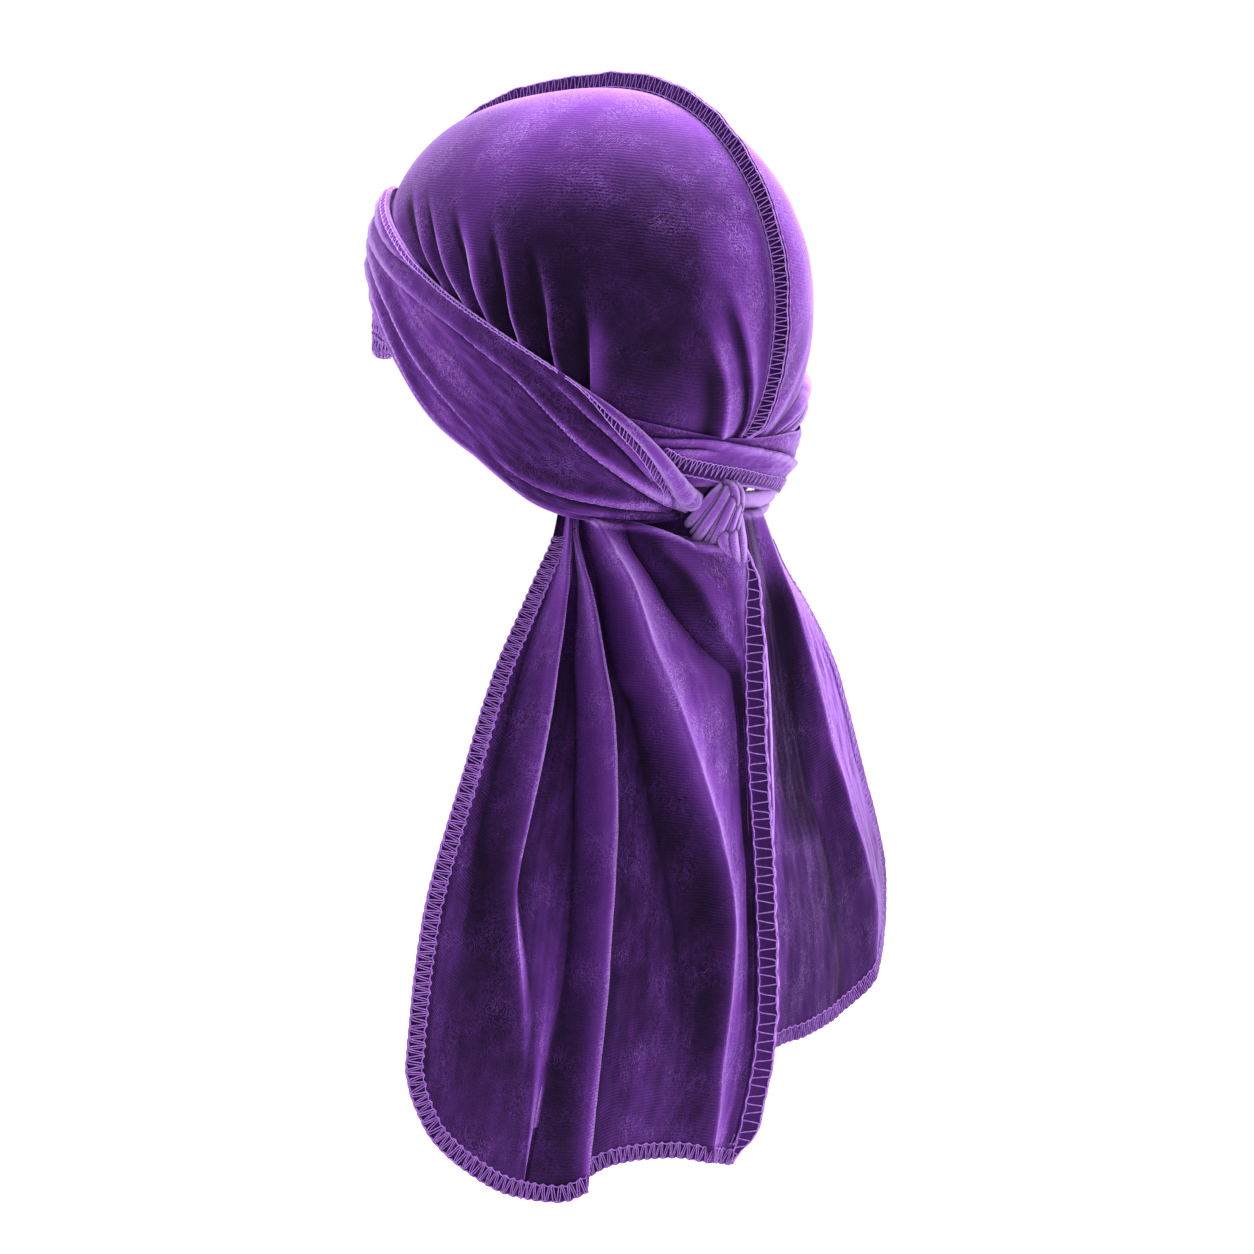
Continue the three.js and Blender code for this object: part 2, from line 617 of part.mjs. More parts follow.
/** Quadratic curve through a start, a bend and an end. */
function bend(start, middle, end, t) {
  return (1 - t) ** 2 * start + 2 * t * (1 - t) * middle + t ** 2 * end;
}

/** How far the folds push the tail out, `at` a place along the hem, at a depth. */
function tailFold(panel, at, depth) {
  const read = (column) => readTable(TAIL_FOLDS[panel], 'at', at, column);
  const { top, middle, low } = TAIL_FOLD_DEPTHS;
  const height =
    depth < middle
      ? lerp(read('top'), read('middle'), smoothstep(depth, top, middle))
      : lerp(read('middle'), read('low'), smoothstep(depth, middle, low));
  return height * smoothstep(depth, TAIL_GATHER.from, TAIL_GATHER.to);
}

/** The middle of a tail panel's cloth without folds, `out` from the seam at 0 to the edge at 1. */
function tailPlan(panel, out, depth) {
  const level = Math.max(depth, TAIL_PLAN[0].depth);
  const read = (column) => readTable(TAIL_PLAN, 'depth', level, column);
  const x = bend(read('seamX'), read(`${panel}BendX`), read(`${panel}X`), out);
  const y = bend(read('seamY'), read(`${panel}BendY`), read(`${panel}Y`), out);
  const hanging = new THREE.Vector3(x, y, -depth);
  const lying = aboveHead(sideOf(panel) * out * TAIL_GATHER[`${panel}Angle`], depth, CLOTH / 2);
  return lying.lerp(hanging, smoothstep(depth, TAIL_GATHER.from, TAIL_GATHER.to));
}

/** A point at a height off the folded cloth of a tail panel, `at` a place along the hem. */
function tailPoint(panel, at, depth, height) {
  const side = sideOf(panel);
  const out = at ** readTable(TAIL_DRAW, 'depth', depth, panel);
  const ahead = tailPlan(panel, Math.min(out + TAIL_SLOPE_STEP, 1), depth);
  const behind = tailPlan(panel, Math.max(out - TAIL_SLOPE_STEP, 0), depth);
  const along = ahead.sub(behind);
  const outward = new THREE.Vector3(-along.y * side, along.x * side, 0).normalize();
  return tailPlan(panel, out, depth).addScaledVector(outward, tailFold(panel, at, depth) + height);
}

function tailPanel(panel) {
  const folds = TAIL_FOLDS[panel];
  const places = folds.slice(1).flatMap((fold, i) => {
    const steps = evenSteps(folds[i].at, fold.at, TAIL_LINES_PER_FOLD);
    return i ? steps.slice(1) : steps;
  });
  const face = (c, r, outside) => {
    const hem = readTable(TAIL_HEM, 'at', places[c], panel);
    const depth = lerp(TAIL_TOP, hem, (r / TAIL_ROWS) ** TAIL_ROW_CROWDING);
    const point = tailPoint(panel, places[c], depth, (outside ? CLOTH : -CLOTH) / 2);
    point.x += sideOf(panel) * SEAM_HALF_GAP;
    return point;
  };
  return clothGeometry(places.length - 1, TAIL_ROWS, face);
}

function tailSeam() {
  const { height, endHeight, thickness, leanDegrees, topDepth, taper, steps } = TAIL_SEAM;
  const lean = degToRad(leanDegrees);
  const out = new THREE.Vector3(-Math.sin(lean), Math.cos(lean), 0);
  const across = new THREE.Vector3(out.y, -out.x, 0);
  const section = (s, corner) => {
    const depth = lerp(topDepth, TAIL_HEM[0].left, s / steps);
    const isTop = corner > 1;
    const tall = lerp(endHeight, height, smoothstep(depth, topDepth, topDepth + taper));
    const rise = CLOTH + GAP + (isTop ? tall : 0);
    const side = corner === 0 || corner === 3 ? 1 : -1;
    return tailPlan('left', 0, depth).addScaledVector(out, rise).addScaledVector(across, (side * thickness) / 2);
  };
  return barGeometry(steps, 4, section);
}

// ---- Assembly ------------------------------------------------------------------------------

function piece(name, geometry, look) {
  const mesh = new THREE.Mesh(geometry, new THREE.MeshStandardMaterial(look));
  mesh.name = name;
  return mesh;
}

const wasm = await Module();
wasm.setup();

const durag = new THREE.Group();
durag.add(
  piece('crown_left', crownPanel(1, gatheredLines()), VELVET),
  piece('crown_right', crownPanel(-1, plainLines()), VELVET),
  piece('crown_seam', crownSeam(), VELVET_SEAM),
  piece('front_hem', frontHem(), VELVET_SEAM),
  piece('strap_left', wideStrap(), VELVET),
  piece('strap_right_twist', twistedStrap(), VELVET),
  piece('strap_right_end', tieEnd(), VELVET),
  piece('knot', knot(wasm), VELVET),
  piece('tail_left', tailPanel('left'), VELVET),
  piece('tail_right', tailPanel('right'), VELVET),
  piece('tail_seam', tailSeam(), VELVET_SEAM),
);

export default durag;
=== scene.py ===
"""Visual model of the tied velvet durag: finer cloth, folds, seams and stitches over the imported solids.

Lengths in the tables are millimetres in the part's frame: +Z up, the wearer faces -Y and the wearer's
left is +X, with the origin at the top of the wearer's head. Meshes are made in metres.
"""

import json
import math

import bpy
import numpy as np
from mathutils import Vector
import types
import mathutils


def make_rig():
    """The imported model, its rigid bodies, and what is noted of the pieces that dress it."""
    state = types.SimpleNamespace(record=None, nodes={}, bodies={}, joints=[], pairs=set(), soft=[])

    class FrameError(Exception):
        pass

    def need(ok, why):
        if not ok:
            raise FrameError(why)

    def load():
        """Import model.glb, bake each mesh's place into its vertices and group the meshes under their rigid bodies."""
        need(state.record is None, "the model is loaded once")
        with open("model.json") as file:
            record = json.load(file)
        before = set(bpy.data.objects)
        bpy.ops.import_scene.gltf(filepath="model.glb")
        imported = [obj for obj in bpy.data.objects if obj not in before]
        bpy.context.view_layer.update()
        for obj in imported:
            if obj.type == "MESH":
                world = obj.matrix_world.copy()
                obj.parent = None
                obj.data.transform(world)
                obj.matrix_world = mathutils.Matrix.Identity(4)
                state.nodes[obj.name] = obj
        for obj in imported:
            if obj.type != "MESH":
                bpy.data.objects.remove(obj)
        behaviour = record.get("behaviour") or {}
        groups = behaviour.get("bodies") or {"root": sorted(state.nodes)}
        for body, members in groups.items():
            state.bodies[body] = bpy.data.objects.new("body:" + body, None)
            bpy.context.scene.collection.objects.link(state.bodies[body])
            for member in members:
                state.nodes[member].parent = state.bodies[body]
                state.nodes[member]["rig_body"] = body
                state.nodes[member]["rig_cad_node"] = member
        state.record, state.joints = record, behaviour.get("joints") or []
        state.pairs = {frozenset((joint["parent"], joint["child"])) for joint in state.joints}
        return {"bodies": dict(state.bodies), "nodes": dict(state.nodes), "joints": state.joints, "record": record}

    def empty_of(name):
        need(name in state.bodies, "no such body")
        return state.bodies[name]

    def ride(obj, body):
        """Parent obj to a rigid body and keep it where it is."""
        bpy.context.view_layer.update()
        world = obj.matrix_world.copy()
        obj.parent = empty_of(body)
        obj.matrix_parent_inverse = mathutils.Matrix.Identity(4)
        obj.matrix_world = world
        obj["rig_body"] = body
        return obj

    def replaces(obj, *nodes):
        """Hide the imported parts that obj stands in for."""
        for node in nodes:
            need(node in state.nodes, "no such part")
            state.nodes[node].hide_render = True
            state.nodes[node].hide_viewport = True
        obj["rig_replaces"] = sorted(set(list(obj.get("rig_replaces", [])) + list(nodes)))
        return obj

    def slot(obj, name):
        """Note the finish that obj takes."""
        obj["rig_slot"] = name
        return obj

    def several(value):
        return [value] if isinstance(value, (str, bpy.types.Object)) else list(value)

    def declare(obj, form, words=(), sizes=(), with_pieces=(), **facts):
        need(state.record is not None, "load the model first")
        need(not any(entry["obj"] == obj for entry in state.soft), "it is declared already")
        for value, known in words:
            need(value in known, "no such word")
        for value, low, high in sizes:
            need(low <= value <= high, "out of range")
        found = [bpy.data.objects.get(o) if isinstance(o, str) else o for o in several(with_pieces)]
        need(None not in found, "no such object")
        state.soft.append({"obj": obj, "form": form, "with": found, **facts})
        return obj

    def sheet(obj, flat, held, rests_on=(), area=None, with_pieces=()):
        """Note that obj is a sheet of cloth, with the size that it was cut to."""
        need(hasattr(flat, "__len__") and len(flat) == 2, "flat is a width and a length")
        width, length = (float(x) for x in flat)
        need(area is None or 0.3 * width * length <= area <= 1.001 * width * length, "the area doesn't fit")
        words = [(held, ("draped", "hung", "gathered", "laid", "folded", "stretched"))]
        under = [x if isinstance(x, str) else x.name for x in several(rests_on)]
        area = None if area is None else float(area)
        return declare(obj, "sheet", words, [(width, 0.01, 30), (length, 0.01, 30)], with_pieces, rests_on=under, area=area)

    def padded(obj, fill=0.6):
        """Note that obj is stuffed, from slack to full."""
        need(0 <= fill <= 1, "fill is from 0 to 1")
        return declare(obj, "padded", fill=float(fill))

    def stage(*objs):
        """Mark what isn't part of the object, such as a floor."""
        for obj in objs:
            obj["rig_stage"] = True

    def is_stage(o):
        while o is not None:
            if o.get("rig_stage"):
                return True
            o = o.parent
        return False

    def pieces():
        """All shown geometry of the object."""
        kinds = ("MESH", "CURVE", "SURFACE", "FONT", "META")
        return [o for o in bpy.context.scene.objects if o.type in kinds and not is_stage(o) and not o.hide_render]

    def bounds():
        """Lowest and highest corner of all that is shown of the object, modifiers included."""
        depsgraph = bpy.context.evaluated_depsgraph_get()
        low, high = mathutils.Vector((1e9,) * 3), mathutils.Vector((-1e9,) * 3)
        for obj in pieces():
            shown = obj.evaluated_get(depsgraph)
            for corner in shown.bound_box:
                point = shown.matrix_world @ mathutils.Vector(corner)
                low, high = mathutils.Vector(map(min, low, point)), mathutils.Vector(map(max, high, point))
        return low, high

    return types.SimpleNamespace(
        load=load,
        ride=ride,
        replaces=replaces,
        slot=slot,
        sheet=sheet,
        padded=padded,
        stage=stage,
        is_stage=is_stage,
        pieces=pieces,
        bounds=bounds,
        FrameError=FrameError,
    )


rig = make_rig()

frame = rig.load()
CAD_BOUNDS = [list(corner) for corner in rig.bounds()]

MM = 0.001
CREVICE_WIDTH = 0.5


def table(columns, *rows):
    """A table with named columns."""
    return dict(zip(columns.split(), np.array(rows, float).T))


def crease(*rows):
    """A crease of the strap: turn round the head, share of the way across the strap, and depth."""
    return table("turn across deep", *rows)


def fold_line(sharpness, *rows):
    """A fold of the tail: how sharp it is, and its rows of depth, place, height, lean and drop.

    Rows without a lean and a drop are valleys or plain waves.
    """
    return sharpness, table("depth at high lean drop", *((*row, 0, 0)[:5] for row in rows))


# ---- Named sizes --------------------------------------------------------------------------------

HEAD_SIDE, HEAD_FRONT, HEAD_BACK, HEAD_CENTRE_Y = 79, 98, 96, 1
WIDEST_DEPTH, LOWEST_DEPTH = 92, 178
NAPE_HOLLOW, SIDE_TAPER = 0.0068, 0.0018
FOREHEAD_ROUNDNESS, CROWN_ROUNDNESS = 3, 2.1
CLOTH = 1.2

CROWN_EDGE = table(
    "angle depth", (0, 160.5), (30, 158), (60, 150), (90, 134), (112, 110), (135, 90), (180, 84)
)
# Pleats of the left crown panel, by where each fold starts under the strap and where it fades out.
CROWN_FOLDS = table(
    "lower_angle lower_depth upper_angle upper_depth height",
    (0, 160, 0, 60, 0), (3, 140, 19, 78, 3), (10, 146, 25, 96, 2.8), (34, 150, 38, 100, 0),
    (54, 132, 56, 88, 2.8), (62, 124, 70, 68, 3.8), (71, 114, 84, 54, 4), (79, 106, 98, 47, 4),
    (88, 94, 111, 43, 3.6), (96, 85, 122, 37, 3), (107, 74, 141, 36, 2.4), (180, 60, 180, 30, 0),
)
SEAM_DRIFT = table("depth angle", (0, 6), (40, 6), (70, 4.6), (108, 3), (135, 0), (165, 0))
SEAM_DRIFT_REACH = 90

FRONT_HEM_EDGE = table(
    "angle depth",
    (118, 109), (125, 112), (132, 111), (150, 106), (180, 103), (210, 106), (230, 113), (242, 123),
)

STRAP = table(
    "turn top bottom lift flare",
    (-46, 139, 163, 2.5, 1), (-29, 143.5, 167.5, 2.5, 2), (-11, 146.4, 166, 2.8, 3.5),
    (6, 145.8, 165.4, 3.6, 5), (22, 143, 166.6, 6, 6.6), (40, 139.5, 167.4, 8, 6.8), (65, 127, 158, 5, 2),
    (90, 108, 150, 2.6, 0), (112, 86, 135, 2.8, 0), (135, 63, 113, 2.8, 0), (157, 46, 98, 2.8, 0),
    (180, 37, 91, 2.8, 0), (203, 37, 84, 2.6, 0), (218, 41, 86, 3, 0), (230, 50.5, 95, 3.6, 0),
    (244, 64, 115, 4, 0), (257, 79.5, 138, 4.2, 0), (273, 97, 157, 4.6, 0), (289, 114, 171, 4.6, 0),
    (302, 127, 177, 4.8, 0), (316, 140, 180, 5.8, 0), (329, 152.5, 181, 6.8, 0), (340, 162, 180.5, 7.6, 0),
    (350, 168, 179, 8.2, 0),
)
STRAP_WALL = 1.3
# The edge that rolls up into a tube towards the knot.
STRAP_ROLL = table(
    "turn radius",
    (297, 0.3), (304, 1), (316, 2), (329, 2.9), (338, 3.7), (344, 4.5), (348, 4.6), (351, 2.6), (352, 1),
)

# Creases of the wide strap: how far across it each one lies (0 at the top edge), and how deep it is.
STRAP_CREASES = [
    crease((-46, 0.36, -0.5), (-32, 0.24, -0.6), (-14, 0.14, -0.6), (4, 0.26, -0.6), (20, 0.42, -0.7),
           (39, 0.58, -0.8), (52, 0.6, -0.4), (60, 0.5, 0), (75, 0.3, 0.6), (90, 0.2, 1), (180, 0.13, 1),
           (216, 0.12, 1.1), (230, 0.11, 1.1), (244, 0.09, 0.9), (252, 0.05, 0.4), (258, 0.03, 0),
           (350, 0.03, 0)),
    crease((-46, 0.5, -0.5), (-34, 0.42, -0.7), (-17, 0.32, -0.5), (-8, 0.32, 0), (50, 0.42, 0),
           (90, 0.38, 1), (180, 0.32, 1.2), (219, 0.3, 1.3), (230, 0.29, 1.3), (244, 0.25, 1.1),
           (257, 0.18, 0.7), (268, 0.17, 0.6), (275, 0.19, 0.6), (285, 0.22, 0.7), (292, 0.28, 0.9),
           (303, 0.38, 1.3), (313, 0.44, 1.5), (330, 0.5, 1.5), (350, 0.54, 1.2)),
    crease((-46, 0.7, 0), (40, 0.6, 0), (90, 0.55, 0.8), (180, 0.47, 1), (217, 0.43, 1.1), (230, 0.46, 1.1),
           (242, 0.51, 1), (248, 0.57, 0.9), (258, 0.66, 0.7), (268, 0.77, 0.3), (276, 0.85, 0),
           (350, 0.9, 0)),
    crease((-46, 0.85, 0), (40, 0.8, 0), (90, 0.76, 0.8), (180, 0.66, 1), (228, 0.64, 1), (235, 0.67, 1),
           (242, 0.75, 1), (247, 0.81, 0.9), (252, 0.87, 0.8), (257, 0.92, 0.4), (262, 0.96, 0),
           (350, 0.97, 0)),
    crease((-46, 0.1, 0), (294, 0.1, 0), (300, 0.12, 0.7), (304, 0.15, 1), (313, 0.21, 1.1), (319, 0.26, 1),
           (326, 0.32, 0.8), (334, 0.38, 0), (350, 0.4, 0)),
    crease((-46, 0.9, 0), (275, 0.88, 0), (290, 0.86, 0.5), (304, 0.83, 0.9), (315, 0.8, 1), (327, 0.76, 1),
           (342, 0.66, 1), (350, 0.64, 1)),
    crease((-46, 0.95, 0), (300, 0.95, 0), (314, 0.93, 0.5), (327, 0.9, 0.7), (340, 0.86, 0.7),
           (350, 0.84, 0.5)),
]

TWIST = table(
    "turn depth lift tall thick",
    (14, 147, 1.6, 6, 2), (24, 139, 3.6, 11, 4.4), (34, 132, 4.2, 15, 5.4), (48, 122, 4.6, 17, 6),
    (65, 112, 5, 17, 6.6), (90, 93, 5.6, 17, 7.4), (112, 73, 5.4, 15, 7), (128, 58.5, 4.4, 10, 5),
    (142, 50.5, 2.4, 5, 2.6), (156, 48.5, 1.4, 1.6, 1.2),
)
TIE_END = table(
    "turn depth lift tall thick",
    (4, 175.8, 8.6, 12, 5), (12, 173.4, 11.4, 15, 5.4), (20, 172.6, 14, 15, 5.8), (27, 171, 14, 14, 5.8),
    (36, 169, 12, 11, 5), (48, 163.5, 6.4, 7.5, 4), (60, 155, 3, 4.5, 2.6), (74, 146, 1.9, 2.6, 1.6),
    (84, 140, 1.6, 1.6, 1.2),
)
KNOT_CENTRE = np.array([4, 69.5, -177.0])

TAIL_PLAN = table(
    "depth seam_x seam_y left_bend_x left_bend_y left_x left_y right_bend_x right_bend_y right_x right_y",
    (170, -2, 74, 36, 60, 50, 24, -22, 72, -39, 56), (188, -2, 77, 41, 63, 57, 25, -26, 76, -44, 61),
    (198, -2, 79, 46, 66, 64, 25, -28, 78, -48, 64), (215, 0, 79.5, 52, 68, 76, 25, -34, 81, -56, 71),
    (240, 1, 80, 56, 67, 93, 25, -38, 83, -75, 72), (275, 2, 82, 60, 66, 110, 25, -44, 84, -91, 72),
    (330, 2, 86, 66, 65, 134, 25, -54, 86, -114, 72), (390, 2, 86, 72, 64, 145, 25, -58, 84, -121, 70),
    (450, 3, 72, 74, 58, 149, 25, -58, 74, -122, 64),
)
# Where the gathered top leaves the head and hangs, by its place out from the seam.
TAIL_LEAVES = table(
    "out left right",
    (0, 177, 177), (0.08, 178, 177), (0.13, 189, 177), (0.2, 191.5, 177), (0.34, 187, 177),
    (0.55, 182.5, 176), (0.75, 181, 175), (1, 173, 174),
)
TAIL_SWING = 6  # length over which it swings off the head
TAIL_HEM = table(
    "at left right",
    (0, 441, 439), (0.1, 438, 416), (0.2, 435, 399), (0.4, 435, 394), (0.5, 441, 391), (0.56, 446, 389),
    (0.7, 442, 382), (0.8, 434, 373), (0.92, 418, 353), (0.98, 401, 336), (1, 390, 325),
)
# Fold lines of the tail from the seam to the outer edge. Each has its place between them down the tail,
# how far it stands out (a valley is negative) and how far it leans over towards the outer edge.
TAIL_FOLDS = {
    "left": [
        fold_line(0.0, (178, 0, 0), (450, 0, 0)),
        fold_line(0.2, (178, 0.05, 1), (190, 0.09, 3), (212, 0.08, 4), (225, 0.06, 2.5), (240, 0.01, 0),
            (330, 0.01, -1), (450, 0.01, -0.5)),
        fold_line(0.2, (178, 0.2, -1), (190, 0.22, -4), (212, 0.19, -6), (225, 0.134, -5),
            (234, 0.085, -3.5), (242, 0.03, -2.5), (300, 0.025, -2.5), (330, 0.025, -2), (450, 0.04, -1)),
        fold_line(0.9, (178, 0.47, 3), (184, 0.38, 5), (192, 0.345, 7, 0.5), (207, 0.359, 9, 1),
            (226, 0.372, 11, 1.5), (243, 0.346, 11, 1.2), (259, 0.31, 11, 1), (282, 0.225, 9),
            (299, 0.17, 7), (315, 0.131, 5.5), (328, 0.107, 4.5), (344, 0.098, 4.5), (367, 0.11, 4),
            (396, 0.12, 3.5), (440, 0.09, 3)),
        fold_line(0.1, (178, 0.62, -2), (190, 0.56, -4), (204, 0.53, -6), (217, 0.515, -7), (240, 0.478, -8),
            (251, 0.435, -9), (275, 0.378, -9), (303, 0.317, -9), (331, 0.269, -8), (359, 0.24, -6),
            (390, 0.23, -4.5), (440, 0.24, -3.5)),
        fold_line(1.0, (178, 0.71, 3, 0.5, 5), (184, 0.7, 4, 1, 7), (196, 0.635, 6, 2, 11),
            (212, 0.61, 8, 3, 17), (228, 0.6, 9, 3.5, 19), (243, 0.596, 10, 4, 21), (265, 0.58, 10.5, 4, 21),
            (296, 0.555, 11, 4, 21), (318, 0.538, 10, 3.5, 19), (355, 0.527, 9.5, 2.5, 17),
            (400, 0.522, 8, 1.2, 13), (440, 0.513, 7, 0.3, 10)),
        fold_line(0.1, (178, 0.72, -2), (196, 0.665, -3), (212, 0.655, -5), (251, 0.646, -6.5),
            (275, 0.626, -6.5), (302, 0.605, -6), (329, 0.59, -5), (356, 0.59, -4.5), (379, 0.612, -4),
            (402, 0.637, -3), (440, 0.67, -2)),
        fold_line(0.9, (178, 0.76, 2.5, 0.5, 5), (196, 0.745, 5, 1.5, 10), (212, 0.763, 6, 2.5, 13),
            (229, 0.778, 6.5, 3.3, 14), (262, 0.8, 7, 3.6, 14), (283, 0.801, 7, 3.2, 13),
            (309, 0.797, 6, 2, 10), (325, 0.785, 5.5, 1, 8), (346, 0.752, 4, 0.2, 5), (370, 0.718, 2, 0, 2),
            (397, 0.7, 0, 0, 0.1), (440, 0.7, -1, 0, 0.1)),
        fold_line(0.1, (178, 0.86, -1.5), (206, 0.87, -2.5), (280, 0.9, -3.5), (360, 0.87, -2),
            (450, 0.86, 0)),
        fold_line(0.0, (178, 1, 0), (450, 1, 0)),
    ],
    "right": [
        fold_line(0.0, (178, 0, 0), (450, 0, 0)),
        fold_line(0.9, (178, 0.06, 0, 0, 0.1), (200, 0.06, 0.6, 0, 1), (214, 0.075, 2.4, 0.6, 5),
            (227, 0.09, 3.6, 1.6, 8), (250, 0.103, 4, 2, 9), (264, 0.104, 4, 2, 9),
            (284, 0.106, 3.3, 1.4, 8), (313, 0.114, 0.9, 0.3, 5), (347, 0.15, -3, 0, 2),
            (377, 0.2, -7, 0, 0.1), (440, 0.25, -11, 0, 0.1)),
        fold_line(0.1, (178, 0.3, -1.5), (195, 0.36, -3), (212, 0.37, -4), (249, 0.42, -5), (272, 0.47, -5),
            (294, 0.52, -5), (313, 0.55, -4), (339, 0.56, -3), (364, 0.58, -2.5), (440, 0.6, -2)),
        fold_line(0.7, (178, 0.6, 0.5), (195, 0.58, 1.5), (212, 0.56, 2.5), (249, 0.6, 3.5), (271, 0.64, 4),
            (292, 0.68, 4.5), (307, 0.7, 5), (326, 0.75, 5), (342, 0.795, 4.6), (366, 0.79, 4),
            (440, 0.8, 3)),
        fold_line(0.0, (178, 1, 0), (450, 1, 0)),
    ],
}
# Share of the panel between a dropping crest and its foot, fewest grid columns between two fold lines, how
# fast a fold's mark fades beside it, and the slope of the cloth at a sharp crest.
FOOT_REACH, FEWEST_COLUMNS, MARK_FADE, CREST_SLOPE = 0.03, 8, 7, 1.7
# Power of the place out from the seam: under 1 it draws the folds towards the outer edge, below the gather.
TAIL_DRAW = table(
    "depth left right",
    (178, 0.28, 1), (190, 0.34, 1), (208, 0.56, 1), (235, 0.8, 1), (258, 0.95, 1), (300, 1, 1),
)
TAIL_TOP, TAIL_ANGLE = 162, {"left": 66, "right": 62}


# ---- Tables and the head that the cloth lies on -------------------------------------------------


def read(rows, at, column):
    """Reads a column where the first column is `at`, along a smooth curve through the rows."""
    keys, values = rows[next(iter(rows))], rows[column]
    at = np.asarray(at, float)
    last = len(keys) - 1
    i = np.clip(np.searchsorted(keys[1:], at, side="left"), 0, last - 1)
    before, after = np.maximum(i - 1, 0), np.minimum(i + 2, last)
    span = keys[i + 1] - keys[i]
    t = np.clip((at - keys[i]) / span, 0, 1)
    start_slope = (values[i + 1] - values[before]) / (keys[i + 1] - keys[before]) * span
    end_slope = (values[after] - values[i]) / (keys[after] - keys[i]) * span
    return (
        (2 * t**3 - 3 * t**2 + 1) * values[i]
        + (t**3 - 2 * t**2 + t) * start_slope
        + (3 * t**2 - 2 * t**3) * values[i + 1]
        + (t**3 - t**2) * end_slope
    )


def read_all(rows, at, columns):
    return [read(rows, at, column) for column in columns.split()]


def ease(x, start, end):
    """0 at start and 1 at end, smooth at both."""
    t = np.clip((x - start) / (end - start), 0, 1)
    return t * t * (3 - 2 * t)


def window(x, start, full, until, end):
    """1 from full to until, and 0 before start and after end."""
    return ease(x, start, full) * (1 - ease(x, until, end))


def bell(x, width):
    return np.exp(-((x / width) ** 2))


def unit(v):
    return v / np.maximum(np.linalg.norm(v, axis=-1, keepdims=True), 1e-9)


def run_of(path):
    """Distance along a path at each of its points."""
    return np.concatenate([[0], np.cumsum(np.linalg.norm(np.diff(path, axis=0), axis=1))])


def head_section(depth):
    rise = 1 - np.clip(depth, 0, WIDEST_DEPTH) / WIDEST_DEPTH
    forehead = (1 - rise**FOREHEAD_ROUNDNESS) ** (1 / FOREHEAD_ROUNDNESS)
    dome = (1 - rise**CROWN_ROUNDNESS) ** (1 / CROWN_ROUNDNESS)
    below = np.clip(depth, WIDEST_DEPTH, LOWEST_DEPTH) - WIDEST_DEPTH
    front = HEAD_FRONT * forehead
    back = HEAD_BACK * dome - NAPE_HOLLOW * below**2
    side = HEAD_SIDE * dome - SIDE_TAPER * below**2
    return front, back, side


def head_point(angle, depth):
    """Point on the head: angle in degrees from the back towards the left, depth below the top."""
    angle, depth = np.broadcast_arrays(np.asarray(angle, float), np.asarray(depth, float))
    front, back, side = head_section(depth)
    across, along = np.sin(np.radians(angle)), np.cos(np.radians(angle))
    reach = np.where(along > 0, back, front)
    return np.stack([side * across, reach * along + HEAD_CENTRE_Y, -depth], axis=-1)


def head_normal(angle, depth):
    step = 0.5
    upper = np.maximum(depth - step, 0.02)
    around = head_point(angle + step, upper + step) - head_point(angle - step, upper + step)
    down = head_point(angle, upper + 2 * step) - head_point(angle, upper)
    normal = np.cross(around, down)
    normal[..., 2] = np.where(np.broadcast_to(depth, normal[..., 2].shape) > WIDEST_DEPTH, 0, normal[..., 2])
    return unit(normal)


def above_head(angle, depth, height):
    return head_point(angle, depth) + head_normal(angle, depth) * np.asarray(height)[..., None]


def ripple(*coords, seed, octaves=3):
    """Smooth, repeatable unevenness of about -1 to 1 from sums of sines."""
    rng = np.random.default_rng(seed)
    total = 0
    for octave in range(octaves):
        for _ in range(4):
            turn = rng.normal(size=len(coords))
            turn /= np.linalg.norm(turn)
            phase = rng.uniform(0, 2 * math.pi)
            rate = 2.0**octave * rng.uniform(0.7, 1.3)
            wave = sum(c * t for c, t in zip(coords, turn))
            total = total + np.sin(wave * rate * 2 * math.pi + phase) / (4 * 1.7**octave)
    return total


# ---- Meshes -------------------------------------------------------------------------------------


def make_mesh(name, verts, faces, uvs=None, fold=None):
    """A mesh object from points in millimetres; `fold` is 1 for a painted highlight on the crest of a fold and -1 for
    painted shade in its valley.
    """
    mesh = bpy.data.meshes.new(name)
    verts = np.asarray(verts, float) * MM
    faces = [np.asarray(f, int) for f in faces]
    corners = np.concatenate([f.ravel() for f in faces])
    sizes = np.concatenate([np.full(len(f), f.shape[1]) for f in faces])
    starts = np.concatenate([[0], np.cumsum(sizes)[:-1]])
    mesh.vertices.add(len(verts))
    mesh.vertices.foreach_set("co", verts.astype(np.float32).ravel())
    mesh.loops.add(len(corners))
    mesh.loops.foreach_set("vertex_index", corners.astype(np.int32))
    mesh.polygons.add(len(sizes))
    mesh.polygons.foreach_set("loop_start", starts.astype(np.int32))
    mesh.polygons.foreach_set("loop_total", sizes.astype(np.int32))
    mesh.polygons.foreach_set("use_smooth", np.ones(len(sizes), bool))
    if uvs is not None:
        layer = mesh.uv_layers.new(name="cloth")
        layer.data.foreach_set("uv", (np.asarray(uvs, float)[corners] * MM).astype(np.float32).ravel())
    if fold is not None:
        values = mesh.attributes.new("fold", "FLOAT", "POINT")
        values.data.foreach_set("value", np.clip(fold, -1, 1).astype(np.float32).ravel())
    mesh.update()
    mesh.validate()
    piece = bpy.data.objects.new(name, mesh)
    bpy.context.scene.collection.objects.link(piece)
    return piece


def signed_volume(verts, quads):
    a, b, c, d = (verts[quads[:, k]] for k in range(4))
    return np.einsum("ij,ij->i", a, np.cross(b, c)).sum() + np.einsum("ij,ij->i", a, np.cross(c, d)).sum()


